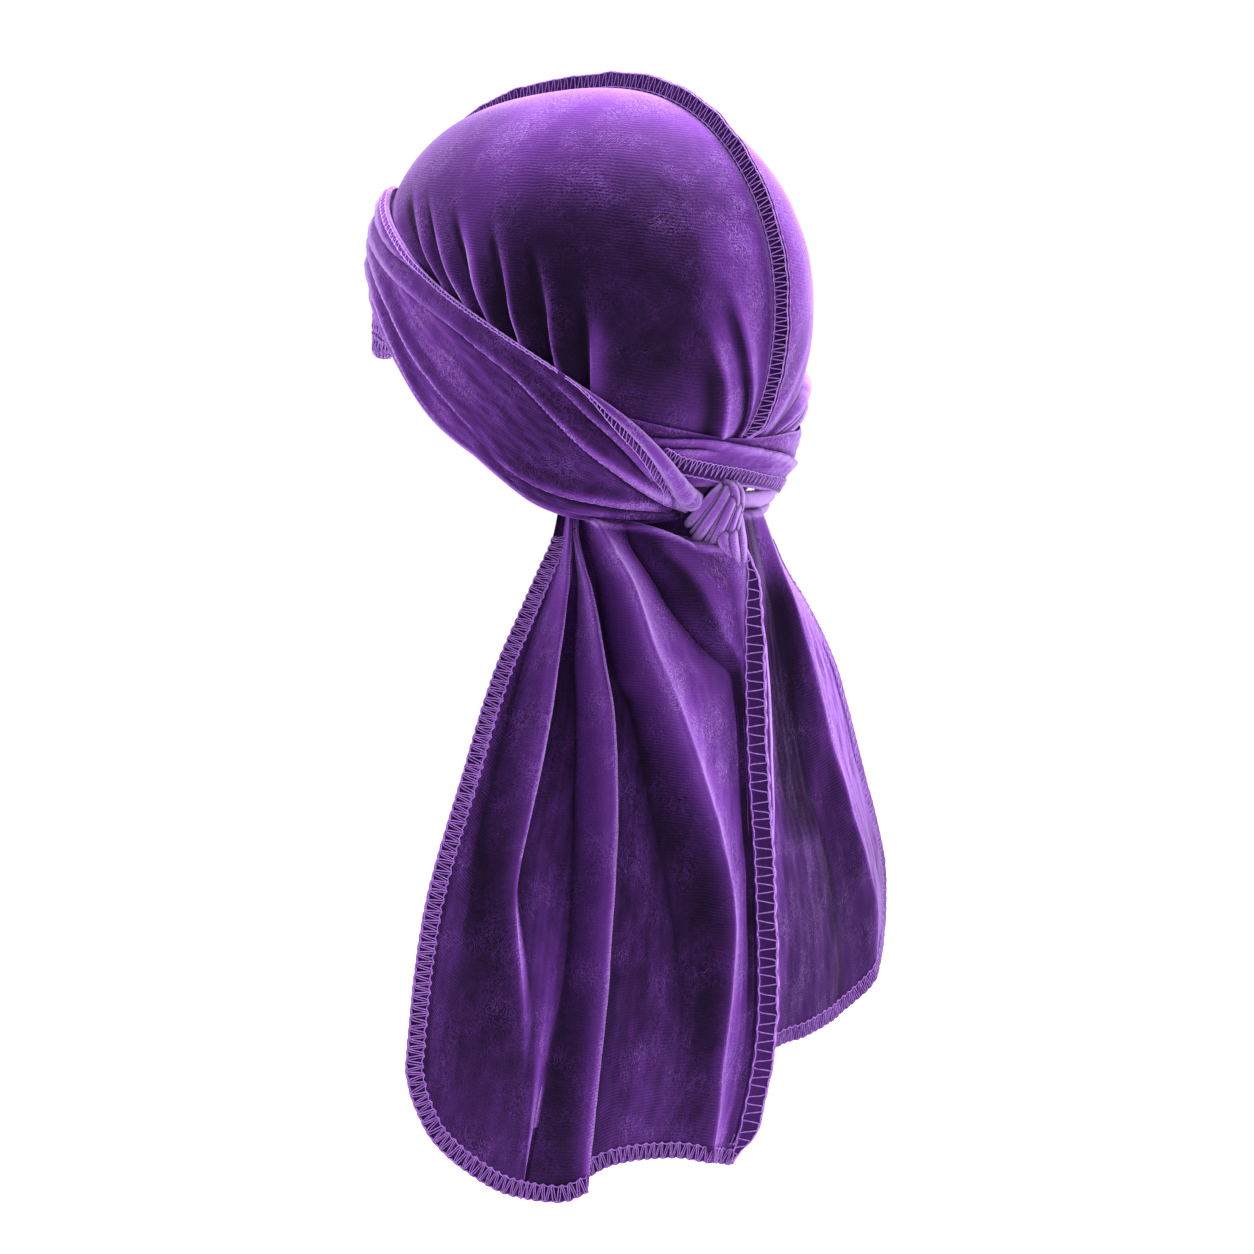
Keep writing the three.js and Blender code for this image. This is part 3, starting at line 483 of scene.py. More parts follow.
def cloth_arrays(outer, inner, uv):
    """Points, quads and flat positions of cloth with two faces, closed round its rim."""
    columns, rows = outer.shape[:2]
    verts = np.concatenate([outer.reshape(-1, 3), inner.reshape(-1, 3)])
    index = np.arange(columns * rows).reshape(columns, rows)
    cells = (index[:-1, :-1], index[1:, :-1], index[1:, 1:], index[:-1, 1:])
    front = np.stack([c.ravel() for c in cells], axis=1)
    back = front[:, ::-1] + columns * rows
    rim = np.concatenate([index[:, 0], index[-1, 1:], index[-2::-1, -1], index[0, -2:0:-1]])
    rim_other = rim + columns * rows
    after = np.roll(np.arange(len(rim)), -1)
    edge = np.stack([rim[after], rim, rim_other, rim_other[after]], axis=1)
    quads = np.concatenate([front, back, edge])
    if signed_volume(verts, quads) < 0:
        quads = quads[:, ::-1]
    flat = uv.reshape(-1, 2)
    return verts, quads, np.concatenate([flat, flat])


def grid_normals(points):
    across = np.gradient(points, axis=0)
    down = np.gradient(points, axis=1)
    return unit(np.cross(across, down))


def flat_lengths(points):
    """Distances along each grid line, as flat cloth coordinates in millimetres."""
    columns = np.linalg.norm(np.diff(points, axis=0), axis=-1).mean(axis=1)
    rows = np.linalg.norm(np.diff(points, axis=1), axis=-1).mean(axis=0)
    u, v = np.concatenate([[0], np.cumsum(columns)]), np.concatenate([[0], np.cumsum(rows)])
    return np.stack(np.meshgrid(u, v, indexing="ij"), axis=-1)


def ring_quads(count, sides):
    """Point numbers of a row of rings, and the quads that join each ring to the next."""
    index = np.arange(count * sides).reshape(count, sides)
    turned = np.roll(index, -1, axis=1)
    return index, np.stack([index[:-1], turned[:-1], turned[1:], index[1:]], axis=-1).reshape(-1, 4)


def tube_arrays(path, radius, sides, face):
    """Rings round a path; `face` gives the direction in which each ring starts."""
    path = np.asarray(path, float)
    along = unit(np.gradient(path, axis=0))
    side = unit(np.cross(along, face))
    out = np.cross(side, along)
    angles = np.arange(sides) * 2 * math.pi / sides
    radius = np.broadcast_to(radius, len(path))[:, None, None]
    rings = (
        path[:, None]
        + radius * np.cos(angles)[None, :, None] * side[:, None]
        + radius * np.sin(angles)[None, :, None] * out[:, None]
    )
    verts = rings.reshape(-1, 3)
    index, quads = ring_quads(len(path), sides)
    caps = [index[0][::-1], index[-1]]
    length = run_of(path)
    girth = angles[None] * radius[:, 0]
    flat = np.stack([girth, np.broadcast_to(length[:, None], girth.shape)], axis=-1).reshape(-1, 2)
    return verts, quads, caps, flat


class Builder:
    """Gathers tubes and cloth into the arrays of one mesh."""

    def __init__(self):
        self.verts, self.quads, self.caps, self.flat, self.count = [], [], [], [], 0
        self.lines = []

    def add(self, verts, quads, caps, flat):
        self.verts.append(verts)
        self.quads.append(quads + self.count)
        self.caps += [np.asarray(cap) + self.count for cap in caps]
        self.flat.append(flat)
        self.count += len(verts)

    def tube(self, path, radius, sides, face):
        self.lines.append((path, np.broadcast_to(radius, len(path))))
        self.add(*tube_arrays(path, radius, sides, face))

    def core(self, path, radius, sides, face):
        """A filling that shows only between the rolls; the crevice marks paint it fully dark, as painted shade."""
        self.lines.append(None)
        self.add(*tube_arrays(path, radius, sides, face))

    def crevice_shade(self):
        """Painted shade marks: -1 where the rolls of a bundle touch each other, and on the filling."""
        marks = []
        for k, verts in enumerate(self.verts):
            near = np.full(len(verts), 1.0 if self.lines[k] is None else 0.0)
            for j, line in enumerate(self.lines):
                if j != k and line is not None:
                    path, radius = line
                    gap = np.linalg.norm(verts[:, None] - path[None], axis=-1) - radius[None]
                    near = np.maximum(near, np.exp(-np.maximum(gap.min(axis=1), 0) / CREVICE_WIDTH))
            marks.append(-near)
        return np.concatenate(marks)

    def mesh(self, name, fold=None):
        faces = [np.concatenate(self.quads)]
        for size in sorted({len(cap) for cap in self.caps}):
            faces.append(np.array([cap for cap in self.caps if len(cap) == size]))
        return make_mesh(name, np.concatenate(self.verts), faces, np.concatenate(self.flat), fold)


# ---- Materials ----------------------------------------------------------------------------------


class Nodes:
    """Short ways to add and join shader nodes."""

    def __init__(self, name):
        self.material = bpy.data.materials.new(name)
        self.material.use_nodes = True
        self.tree = self.material.node_tree
        self.tree.nodes.clear()

    def add(self, kind, inputs=(), **settings):
        node = self.tree.nodes.new("ShaderNode" + kind)
        for key, value in settings.items():
            setattr(node, key, value)
        for key, value in dict(inputs).items():
            if isinstance(value, bpy.types.NodeSocket):
                self.tree.links.new(value, node.inputs[key])
            else:
                node.inputs[key].default_value = value
        return node

    def maths(self, operation, *values, clamp=False):
        return self.add("Math", dict(enumerate(values)), operation=operation, use_clamp=clamp).outputs[0]

    def plus(self, a, b):
        return self.maths("ADD", a, b)

    def minus(self, a, b, clamp=False):
        return self.maths("SUBTRACT", a, b, clamp=clamp)

    def times(self, a, b, clamp=False):
        return self.maths("MULTIPLY", a, b, clamp=clamp)

    def noise(self, where, scale, detail=2.0, distortion=0.0, rough=0.5):
        look = {"Scale": scale, "Detail": detail, "Distortion": distortion, "Roughness": rough}
        return self.add("TexNoise", {"Vector": where, **look}).outputs["Fac"]

    def ramp(self, value, *stops):
        node = self.add("ValToRGB", {"Fac": value})
        elements = node.color_ramp.elements
        while len(elements) < len(stops):
            elements.new(0.5)
        for element, (position, colour) in zip(elements, stops):
            element.position = position
            element.color = (*colour, 1)
        return node.outputs["Color"]

    def mix(self, factor, a, b, blend="MIX"):
        node = self.add("Mix", data_type="RGBA", blend_type=blend)
        for socket, value in zip((node.inputs[0], node.inputs[6], node.inputs[7]), (factor, a, b)):
            if isinstance(value, bpy.types.NodeSocket):
                self.tree.links.new(value, socket)
            else:
                socket.default_value = value if isinstance(value, (int, float)) else (*value, 1)
        return node.outputs[2]

    def cloth(self, colour, roughness, specular, sheen, sheen_roughness, bump):
        inputs = {
            "Base Color": colour, "Roughness": roughness, "Specular IOR Level": specular, "Normal": bump,
            "Sheen Weight": sheen, "Sheen Roughness": sheen_roughness, "Sheen Tint": SHEEN_TINT,
        }
        return self.finish(self.add("BsdfPrincipled", inputs))

    def finish(self, shader):
        out = self.add("OutputMaterial")
        self.tree.links.new(shader.outputs[0], out.inputs["Surface"])
        return self.material


# Velvet colour along its tone, which is mostly how edge on the cloth is to the view: near black straight on,
# violet, lilac, then almost white edge on. The lighter end is a painted sheen.
VELVET_COLOUR_AND_PAINTED_SHEEN = (
    (0, (0.006, 0.0021, 0.011)), (0.1, (0.019, 0.0055, 0.037)), (0.22, (0.04, 0.0105, 0.082)),
    (0.4, (0.072, 0.019, 0.145)), (0.58, (0.115, 0.032, 0.225)), (0.78, (0.18, 0.064, 0.33)),
    (1, (0.32, 0.19, 0.48)),
)
# Painted highlight on the crests of folds, and painted shade in their valleys: its strength and near black colour.
PAINTED_CREST_HIGHLIGHT, VALLEY_SHADE, VALLEY_SHADE_COLOUR = 0.5, 0.92, (0.003, 0.001, 0.006)
SHEEN_TINT = (0.72, 0.44, 1.0, 1.0)


def velvet(name, rib=1.0, nap=1.0, shade=1.0, sheen=0.22, painted_lift=0.0):
    """Velvet with a short nap: dark from straight on and lilac edge on, a sheen painted into its colour by the view
    angle, with squiggles in the nap and faint ribs.

    The crests of folds get a painted highlight and their valleys painted shade, and the last argument lightens
    the whole material as painted light.
    """
    n = Nodes(name)
    place = n.add("TexCoord").outputs["Object"]
    flat = n.add("UVMap", uv_map="cloth").outputs["UV"]
    broad = n.noise(place, 16, 3, 0.4)
    patch = n.noise(place, 75, 3, 0.8)
    fine = n.noise(place, 520, 3, 2.2, 0.6)

    squiggle = n.maths("ABSOLUTE", n.minus(n.noise(place, 330, 1.0, 2.4), 0.5))
    squiggle = n.minus(1.0, n.times(squiggle, 22.0), clamp=True)
    squiggle = n.times(squiggle, n.minus(n.noise(place, 60, 2), 0.36, clamp=True))

    course = n.add("SeparateXYZ", {"Vector": flat}).outputs["Y"]
    wobble = n.times(n.noise(place, 90, 2), 0.0022)
    course = n.maths("SINE", n.times(n.plus(course, wobble), 2 * math.pi / 0.0013))
    course = n.times(course, n.noise(place, 40, 2))

    height = n.plus(n.times(course, 0.00005 * rib), n.times(squiggle, 0.00034 * nap))
    height = n.plus(height, n.times(n.noise(place, 1400, 2, 1.0), 0.00014))
    height = n.plus(height, n.times(patch, 0.00025))
    bump = n.add("Bump", {"Strength": 0.8, "Distance": 1.0, "Height": height}).outputs["Normal"]

    # How edge on the cloth is to the view drives the colour towards lilac: a sheen painted into the base colour.
    facing = n.add("LayerWeight", {"Blend": 0.5, "Normal": bump}).outputs["Facing"]
    # The fold attribute paints a highlight on crests and shade in valleys.
    fold = n.add("Attribute", attribute_name="fold").outputs["Fac"]
    crest = n.maths("MAXIMUM", fold, 0.0)
    valley = n.maths("MAXIMUM", n.times(fold, -1.0), 0.0)
    tone = n.plus(facing, n.times(n.minus(broad, 0.46), 0.14))
    tone = n.plus(tone, n.plus(n.times(crest, PAINTED_CREST_HIGHLIGHT), painted_lift))
    tone = n.plus(tone, n.times(n.minus(patch, 0.5), 0.10))
    tone = n.plus(tone, n.times(n.minus(fine, 0.5), 0.14))
    tone = n.plus(tone, n.times(n.times(squiggle, tone, clamp=True), 1.6 * nap))
    colour = n.ramp(tone, *[(at, tuple(shade * c for c in hue)) for at, hue in VELVET_COLOUR_AND_PAINTED_SHEEN])
    # Painted shade in the valleys of folds.
    colour = n.mix(n.times(valley, VALLEY_SHADE), colour, VALLEY_SHADE_COLOUR)
    return n.cloth(colour, 0.7, 0.03, sheen, 0.3, bump)


def thread(name, colour):
    """Overlock thread: two colours twisted along it, with a soft gloss."""
    n = Nodes(name)
    place = n.add("TexCoord").outputs["Object"]
    tone = n.noise(place, 900, 2, 1.0)
    dark = tuple(0.55 * c for c in colour)
    shade = n.ramp(tone, (0.35, dark), (0.65, colour))
    bump = n.add("Bump", {"Strength": 0.4, "Distance": 1.0, "Height": n.times(tone, 0.0001)})
    return n.cloth(shade, 0.5, 0.3, 0.5, 0.4, bump.outputs["Normal"])


VELVET = velvet("velvet")
# A darker copy of the velvet for the crown seam's flange: painted shade.
SEAM_VELVET = velvet("seam_velvet", rib=0.4, nap=0.5, shade=0.6, sheen=0.1)
THREAD = thread("overlock_thread", (0.40, 0.17, 0.66))
HEM_THREAD = thread("hem_thread", (0.27, 0.095, 0.47))


def finish_piece(piece, material, slot, *nodes):
    piece.data.materials.append(material)
    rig.ride(piece, "root")
    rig.slot(piece, slot)
    if nodes:
        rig.replaces(piece, *nodes)
    return piece


# ---- Crown --------------------------------------------------------------------------------------

CROWN_LEFT_GRID, CROWN_RIGHT_GRID = (321, 96), (130, 80)
# A pleat falls over the first share of the way to the next crest and rises again from a later one.
FOLD_STEEP_SHARE, RISE_FROM, FOLD_LEAN = 0.2, 0.3, 2.2
# Height of a pleat that is marked in full, and the share of the way down at which a pleat has its height.
MARKED_HEIGHT, CREASE_FULL_AT = 3.4, 0.8
PRESSED_SHARE, PRESSED_LENGTH = 0.62, 8


def crown_ridges(lower_angle):
    """Height of the pleats at a line of cloth, a slow rise to each crest and a steep drop, and the fold mark: a
    painted highlight on each crest and painted shade just below it.
    """
    crests, heights = CROWN_FOLDS["lower_angle"], CROWN_FOLDS["height"]
    i = np.clip(np.searchsorted(crests, lower_angle, side="right") - 1, 0, len(crests) - 2)
    t = (lower_angle - crests[i]) / (crests[i + 1] - crests[i])
    fall = heights[i] * (1 - ease(t, 0, FOLD_STEEP_SHARE))
    rise = heights[i + 1] * ease(t, RISE_FROM, 1) ** 1.3
    mark = heights[i] / MARKED_HEIGHT * (bell(t, 0.09) - 1.2 * bell(t - 0.24, 0.16))
    mark = mark + heights[i + 1] / MARKED_HEIGHT * bell(1 - t, 0.16)
    return np.maximum(fall, rise), mark


def short_crown_depths(edge, rows):
    """Depths down a line of the crown in even steps along its arc, also where it ends on the dome."""
    on_dome = np.arccos(1 - np.minimum(edge, WIDEST_DEPTH) / WIDEST_DEPTH)
    reach = np.where(edge < WIDEST_DEPTH, on_dome, math.pi / 2)
    total = reach * WIDEST_DEPTH + np.maximum(edge - WIDEST_DEPTH, 0)
    s = np.linspace(0.004, 1, rows)[None] * total[:, None]
    arc = np.minimum(s / WIDEST_DEPTH, math.pi / 2)
    return WIDEST_DEPTH * (1 - np.cos(arc)) + np.maximum(s - WIDEST_DEPTH * math.pi / 2, 0)


# Zones of painted highlight, or painted shade (negative): strength, and windows of angle and depth.
CROWN_PAINTED_LIGHT = (
    (0.45, (6, 12, 22, 32), (56, 72, 114, 128)),
    (-0.66, (52, 64, 78, 90), (42, 62, 112, 130)),
    (-0.5, (82, 106, 200, 201), (3, 16, 90, 120)),
)


def zone_strength(zones, across, depth):
    """Strength of the painted light zones at each point, one entry per zone."""
    return np.stack([share * window(across, *wide) * window(depth, *tall) for share, wide, tall in zones])


def crown_panel(side, columns, rows, share):
    lower = np.linspace(0, 180, columns)
    edge = read(CROWN_EDGE, lower, "depth")
    depth = short_crown_depths(edge, rows)
    lower = np.broadcast_to(lower[:, None], depth.shape)
    upper_depth = read(CROWN_FOLDS, lower, "upper_depth")
    lower_depth = read(CROWN_FOLDS, lower, "lower_depth")
    down = np.clip((depth - upper_depth) / (lower_depth - upper_depth), 0, 1)
    angle = read(CROWN_FOLDS, lower, "upper_angle") * (1 - down) + lower * down
    pressed = PRESSED_SHARE * ease(depth, lower_depth, lower_depth + PRESSED_LENGTH)
    gathered = (ease(down, 0, CREASE_FULL_AT) - pressed) * share
    height, mark = crown_ridges(lower)
    height = height * gathered
    angle = angle + FOLD_LEAN * gathered * (height / 4) ** 2
    height = height + 0.25 * ripple(angle / 40, depth / 45, seed=5) * ease(depth, 15, 60) * (1 - gathered)
    drift = side * read(SEAM_DRIFT, depth, "angle")
    own = angle + drift * np.maximum(0, 1 - angle / SEAM_DRIFT_REACH)
    outer = above_head(side * own, depth, CLOTH + height)
    inner = above_head(side * own, depth, height)
    mark = mark * np.clip(gathered * 1.6, 0, 1)
    if side > 0:
        mark = mark + zone_strength(CROWN_PAINTED_LIGHT, own, depth).sum(axis=0)
    return cloth_arrays(outer, inner, flat_lengths(outer)), mark


def add_cloth(name, arrays, fold=None):
    verts, quads, flat = arrays
    both = None if fold is None else np.concatenate([fold.ravel(), 0 * fold.ravel()])
    return make_mesh(name, verts, [quads], flat, both)


left_panel = add_cloth("velvet_crown_left", *crown_panel(1, *CROWN_LEFT_GRID, 1.0))
crown_left = finish_piece(left_panel, VELVET, "velvet", "crown_left")
right_panel = add_cloth("velvet_crown_right", *crown_panel(-1, *CROWN_RIGHT_GRID, 0.3))
crown_right = finish_piece(right_panel, VELVET, "velvet", "crown_right")


# ---- Overlock stitching -------------------------------------------------------------------------


def resample(path, count):
    length = run_of(path)
    at = np.linspace(0, length[-1], count)
    return np.stack([np.interp(at, length, path[:, k]) for k in range(path.shape[1])], axis=1)


def smoothed(path, count):
    """A smooth curve through few points, resampled."""
    path = np.asarray(path, float)
    t = np.linspace(0, len(path) - 1, count)
    rows = {"i": np.arange(len(path), dtype=float)}
    for k in range(path.shape[1]):
        rows[k] = path[:, k]
    return np.stack([read(rows, t, k) for k in range(path.shape[1])], axis=1)


def swing_between(x, form):
    """Place of the looper thread, from 0 on the needle line to 1 on the edge line; x counts the stitches."""
    if form == "loops":
        return 1 - np.abs(np.sin(math.pi * x)) ** 0.6
    wave = 0.5 - 0.5 * np.cos(2 * math.pi * x)
    return ease(wave, 0.28, 0.72) if form == "rungs" else ease(wave, 0.02, 0.98)


def overlock(
    builder, needle, edge, out, pitch=3.6, thick=0.24, wave=0.35, seed=1, sway=0.5, form="zigzag", steps=12
):
    """Overlock stitches between a needle line and an edge line of the same number of points.

    The looper thread swings between the lines, a second one crosses it by sway, and a chain runs along each
    line. `out` is the direction the threads stand up in.
    """
    length = np.linalg.norm(np.diff(edge, axis=0), axis=1).sum()
    stitches = max(int(length / pitch), 3)
    rng = np.random.default_rng(seed)
    line = resample(np.concatenate([needle, edge, out], axis=1), stitches * steps + 1)
    needle, edge, out = line[:, 0:3], line[:, 3:6], unit(line[:, 6:9])
    t = np.linspace(0, stitches, len(line))
    uneven = np.interp(t, np.arange(stitches + 2), rng.uniform(-0.12, 0.12, stitches + 2))
    lift = thick * 0.8
    for shift, raise_by in ((0.0, 1.0), (sway, 1.9)) if sway else ((0.0, 1.0),):
        swing = swing_between(t + shift + uneven, form)
        path = needle + (edge - needle) * swing[:, None] + out * (lift * raise_by)
        builder.tube(path, thick * 0.85, 4, out)
    scallop = wave * np.abs(np.sin(math.pi * (t + uneven)))
    inward = unit(edge - needle)
    builder.tube(needle - inward * (wave * 0.5 - scallop)[:, None] + out * lift * 1.4, thick * 0.9, 4, out)
    builder.tube(edge + inward * (scallop * 0.6)[:, None] + out * lift * 0.4, thick * 1.15, 4, out)


# ---- Crown seam ---------------------------------------------------------------------------------

SEAM_STEPS = 340
FLANGE_HEIGHT, FLANGE_THICK, FLANGE_TAPER = 7.6, 1.8, 9
FLANGE_FRONT_DEPTH, FLANGE_BACK_DEPTH = 34, 149


def seam_depth(arc):
    quarter = np.abs(arc)
    return np.where(
        quarter < 1,
        WIDEST_DEPTH * (1 - np.cos(np.minimum(quarter, 1) * math.pi / 2)),
        WIDEST_DEPTH * (1 + (quarter - 1) * math.pi / 2),
    )


def seam_arc(depth):
    share = depth / WIDEST_DEPTH
    return math.acos(1 - share) / (math.pi / 2) if share < 1 else 1 + (share - 1) / (math.pi / 2)


def crown_seam_lines():
    """Foot points of the crown seam from the forehead to the nape, with its up and left directions."""
    arcs = np.linspace(-seam_arc(FLANGE_FRONT_DEPTH), seam_arc(FLANGE_BACK_DEPTH), SEAM_STEPS)
    depth = seam_depth(arcs)
    angle = np.where(arcs < 0, 180, read(SEAM_DRIFT, depth, "angle"))
    foot = above_head(angle, depth, np.full(len(arcs), CLOTH - 0.5))
    top = above_head(angle, depth, np.full(len(arcs), CLOTH + 0.5))
    up = unit(top - foot)
    left = np.tile([1.0, 0.0, 0.0], (len(arcs), 1))
    return foot, up, left


def flange(foot, up, side, height, thick, sway, seed, taper=FLANGE_TAPER):
    """A standing double edge of cloth: returns its closed arrays and its left face's lines."""
    length = run_of(foot)
    fade = ease(np.minimum(length, length[-1] - length), 0, taper)
    tall = 0.8 + (height - 0.8) * fade
    tall = tall * (1 + 0.05 * ripple(length / 22, seed=seed))
    lean = sway(length) * fade
    profile = [(-0.5, 0.0), (-0.52, 0.35), (-0.5, 0.75), (-0.44, 0.93), (-0.2, 1.0), (0.2, 1.0), (0.44, 0.93),
               (0.5, 0.75), (0.52, 0.35), (0.5, 0.0)]
    columns = []
    for across, rise in profile:
        shift = across * thick - lean * rise**1.5
        columns.append(foot + up * (tall * rise)[:, None] + side * shift[:, None])
    points = np.stack(columns, axis=1)
    index, quads = ring_quads(*points.shape[:2])
    verts = points.reshape(-1, 3)
    if signed_volume(verts, quads) < 0:
        quads = quads[:, ::-1]
    girth = run_of(points[len(points) // 2])
    flat = np.stack(np.broadcast_arrays(girth[None], length[:, None]), axis=-1).reshape(-1, 2)
    return verts, quads, [index[0], index[-1][::-1]], flat, points


def standing_seam(name, flanged, foot_share, seeds, **stitches):
    """A flange and the stitches on its two faces, with their needle lines foot_share of the way to its foot."""
    *arrays, points = flanged
    builder, threads = Builder(), Builder()
    builder.add(*arrays)
    piece = builder.mesh("velvet_" + name)
    out = unit(points[:, 8] - points[:, 1])
    for foot, low, edge, towards, seed in ((9, 8, 6, out, seeds[0]), (0, 1, 3, -out, seeds[1])):
        needle = points[:, foot] * foot_share + points[:, low] * (1 - foot_share)
        overlock(threads, needle, points[:, edge], towards, seed=seed, sway=0, **stitches)
    return piece, threads.mesh(name + "_stitches")


def crown_seam_sway(s):
    return 0.9 + 0.5 * ripple(s / 30, seed=11) + 0.25 * np.sin(s / 5.2)


crown_flange = flange(*crown_seam_lines(), FLANGE_HEIGHT, FLANGE_THICK, crown_seam_sway, 3)
crown_seam_piece, crown_seam_threads = standing_seam("crown_seam", crown_flange, 0.6, (2, 4))
finish_piece(crown_seam_piece, SEAM_VELVET, "velvet_seam", "crown_seam")
finish_piece(crown_seam_threads, THREAD, "velvet_seam")


# ---- Ruched hem at the forehead -----------------------------------------------------------------


HEM_COLUMNS, HEM_ROWS = 420, 26
# Rows of the hem that its two lines of stitches follow (needle, edge and the row whose outward direction they
# take), and their pitch, wave and seed.
HEM_STITCHES = ((14, 24, 20, 2.9, 0.6, 7), (4, 11, 8, 3.1, 0.5, 8))


def front_hem():
    angle = np.linspace(118, 242, HEM_COLUMNS)[:, None]
    down = np.linspace(0, 1, HEM_ROWS)[None]
    edge = read(FRONT_HEM_EDGE, angle, "depth")
    top = read(CROWN_EDGE, np.where(angle <= 180, angle, 360 - angle), "depth") + 1
    depth = top + (edge - top) * down
    gather = np.sin(angle * 3.3 + 2.6 * ripple(angle / 9, down * 1.5, seed=21))
    small = ripple(angle / 1.6, down * 5, seed=22, octaves=2)
    ruffle = (0.85 * gather + 0.7 * small) * (0.25 + 0.75 * down) + 1.0
    outer = above_head(angle, depth, 1.1 + ruffle)
    inner = above_head(angle, depth, 0.05 + ruffle * 0.5)
    return cloth_arrays(outer, inner, flat_lengths(outer)), outer


hem_arrays, hem_face = front_hem()
hem = finish_piece(add_cloth("velvet_front_hem", hem_arrays), VELVET, "velvet_seam", "front_hem")
hem_threads = Builder()
hem_out = grid_normals(hem_face)
hem_out *= np.sign(np.einsum("ijk,ijk->ij", hem_out, hem_face * [1, 1, 0]))[..., None]
for low, high, facing, pitch, wave, seed in HEM_STITCHES:
    lines = hem_face[:, low], hem_face[:, high], hem_out[:, facing]
    overlock(hem_threads, *lines, pitch=pitch, wave=wave, seed=seed, steps=8)
hem_stitches = finish_piece(hem_threads.mesh("front_hem_stitches"), THREAD, "velvet_seam")


# ---- Wide strap ---------------------------------------------------------------------------------

STRAP_COLUMNS, STRAP_ROWS = 380, 100
STRAP_FIRST, STRAP_LAST = -46, 350
ROLL_STEPS, ROLL_SIDES, ROLL_HIGHLIGHT = 120, 24, 0.6
CREASE_HEIGHT, CREASE_REACH, CREASE_DROP, CREASE_LEAN = 3.0, 10.0, 0.9, 1.8
# Strengths of the fold marks: a painted highlight along the strap's edges (less from the forehead to the left
# ear), darkening on the band's stitched strip, and painted shade beside the rolled edge.
EDGE_MARK, FOREHEAD_EDGE_MARK, STRIP_MARK, ROLL_MARK = 0.5, 0.15, 0.7, 0.9
# Strap width from which creases have their full reach, and how far and how wide the edges bend in.
FULL_WIDTH, TURNED_IN, TURNED_IN_REACH = 50, 0.9, 2.2
# The stitched strip of the nape band: its needle line and edge line across the strap.
BAND_STRIP = table(
    "turn needle edge",
    (-44, 0.28, 0.5), (-22, 0.44, 0.7), (-1, 0.62, 0.93), (15, 0.74, 0.96), (37, 0.79, 0.966),
    (44, 0.945, 0.97),
)


def strap_face_and_marks(turn, across):
    """Outside face of the wide strap, from its top edge at 0 across to its lower edge at 1, and fold marks of painted
    highlight and shade.
    """
    top, bottom, lift, flare = read_all(STRAP, turn, "top bottom lift flare")
    wide = bottom - top
    narrow = np.clip(wide / FULL_WIDTH, 0.35, 1)
    shape = np.broadcast(turn, across).shape
    height, push, mark = np.zeros(shape), np.zeros(shape), np.zeros(shape)
    for line in STRAP_CREASES:
        at, deep = read_all(line, turn, "across deep")
        turned = np.where(deep < 0, -1, 1)
        deep = np.abs(deep)
        off = (across - at) * wide * turned
        above = 1 - ease(-off, 0, CREASE_REACH * narrow)
        below = 1 - ease(off, 0, CREASE_DROP)
        tooth = np.where(off < 0, above**1.4, below)
        height = np.maximum(height, deep * CREASE_HEIGHT * tooth * (0.55 + 0.45 * narrow))
        push = push + turned * deep * CREASE_LEAN * np.where(off < 0, above**6, below)
        # A painted highlight along each crease and painted shade just past it.
        mark = mark + deep * (0.8 * bell(off + 0.7, 0.9) - bell(off - 1.5, 1.4))
    edge = np.minimum(across, 1 - across) * wide
    # A painted highlight along the strap's edges.
    mark = mark + np.where(np.abs(turn - 200) < 62, FOREHEAD_EDGE_MARK, EDGE_MARK) * bell(edge, 0.8)
    first, last = read_all(BAND_STRIP, turn, "needle edge")
    strip = window(across, first - 0.03, first + 0.04, last - 0.05, last + 0.02)
    mark = mark - STRIP_MARK * strip * window(turn, -46, -43, 46, 54)
    # Painted shade beside the rolled edge.
    beside = across * wide - 2 * read(STRAP_ROLL, np.clip(turn, 297, 350), "radius")
    mark = mark - ROLL_MARK * ease(turn, 298, 312) * bell(beside, 0.7)
    turned_in = TURNED_IN * (1 - ease(edge, 0, TURNED_IN_REACH))
    length = turn * 1.6
    fine = 0.28 * ripple(length / 26, across * wide / 7, seed=31)
    fine = fine + 0.1 * ripple(length / 7, across * wide / 4, seed=32)
    depth = top + wide * across + push
    out = lift + flare * across + STRAP_WALL + height + fine * ease(edge, 0, 4) - turned_in
    return above_head(-turn, depth, out), mark


def strap_surface(turn, across):
    return strap_face_and_marks(turn, across)[0]


def wide_strap():
    turn = np.linspace(STRAP_FIRST, STRAP_LAST, STRAP_COLUMNS)[:, None]
    across = np.linspace(0, 1, STRAP_ROWS)[None]
    outer, mark = strap_face_and_marks(turn, across)
    top, bottom, lift, flare = read_all(STRAP, turn, "top bottom lift flare")
    inner = above_head(-turn, top + (bottom - top) * across, lift + flare * across)
    return cloth_arrays(outer, inner, flat_lengths(outer)), mark


def rolled_edge():
    """The rolled top edge of the strap, a tube that grows towards the knot: path, directions and radii."""
    turn = np.linspace(STRAP_ROLL["turn"][0], STRAP_ROLL["turn"][-1], ROLL_STEPS)
    radius = read(STRAP_ROLL, turn, "radius")
    wide = read(STRAP, turn, "bottom") - read(STRAP, turn, "top")
    out = head_normal(-turn, read(STRAP, turn, "top") + 10)
    path = strap_surface(turn, np.clip(radius / wide, 0, 1)) + out * (radius * 0.45 - 0.5)[:, None]
    return path, out, radius


strap_builder = Builder()
strap_arrays, strap_mark = wide_strap()
strap_builder.add(strap_arrays[0], strap_arrays[1], [], strap_arrays[2])
roll_path, roll_out, roll_radius = rolled_edge()
strap_builder.core(roll_path, roll_radius, ROLL_SIDES, roll_out)
# The rolled edge takes a painted highlight all round.
roll_highlight = np.full(ROLL_SIDES * ROLL_STEPS, ROLL_HIGHLIGHT)
strap_fold = np.concatenate([strap_mark.ravel(), 0 * strap_mark.ravel(), roll_highlight])
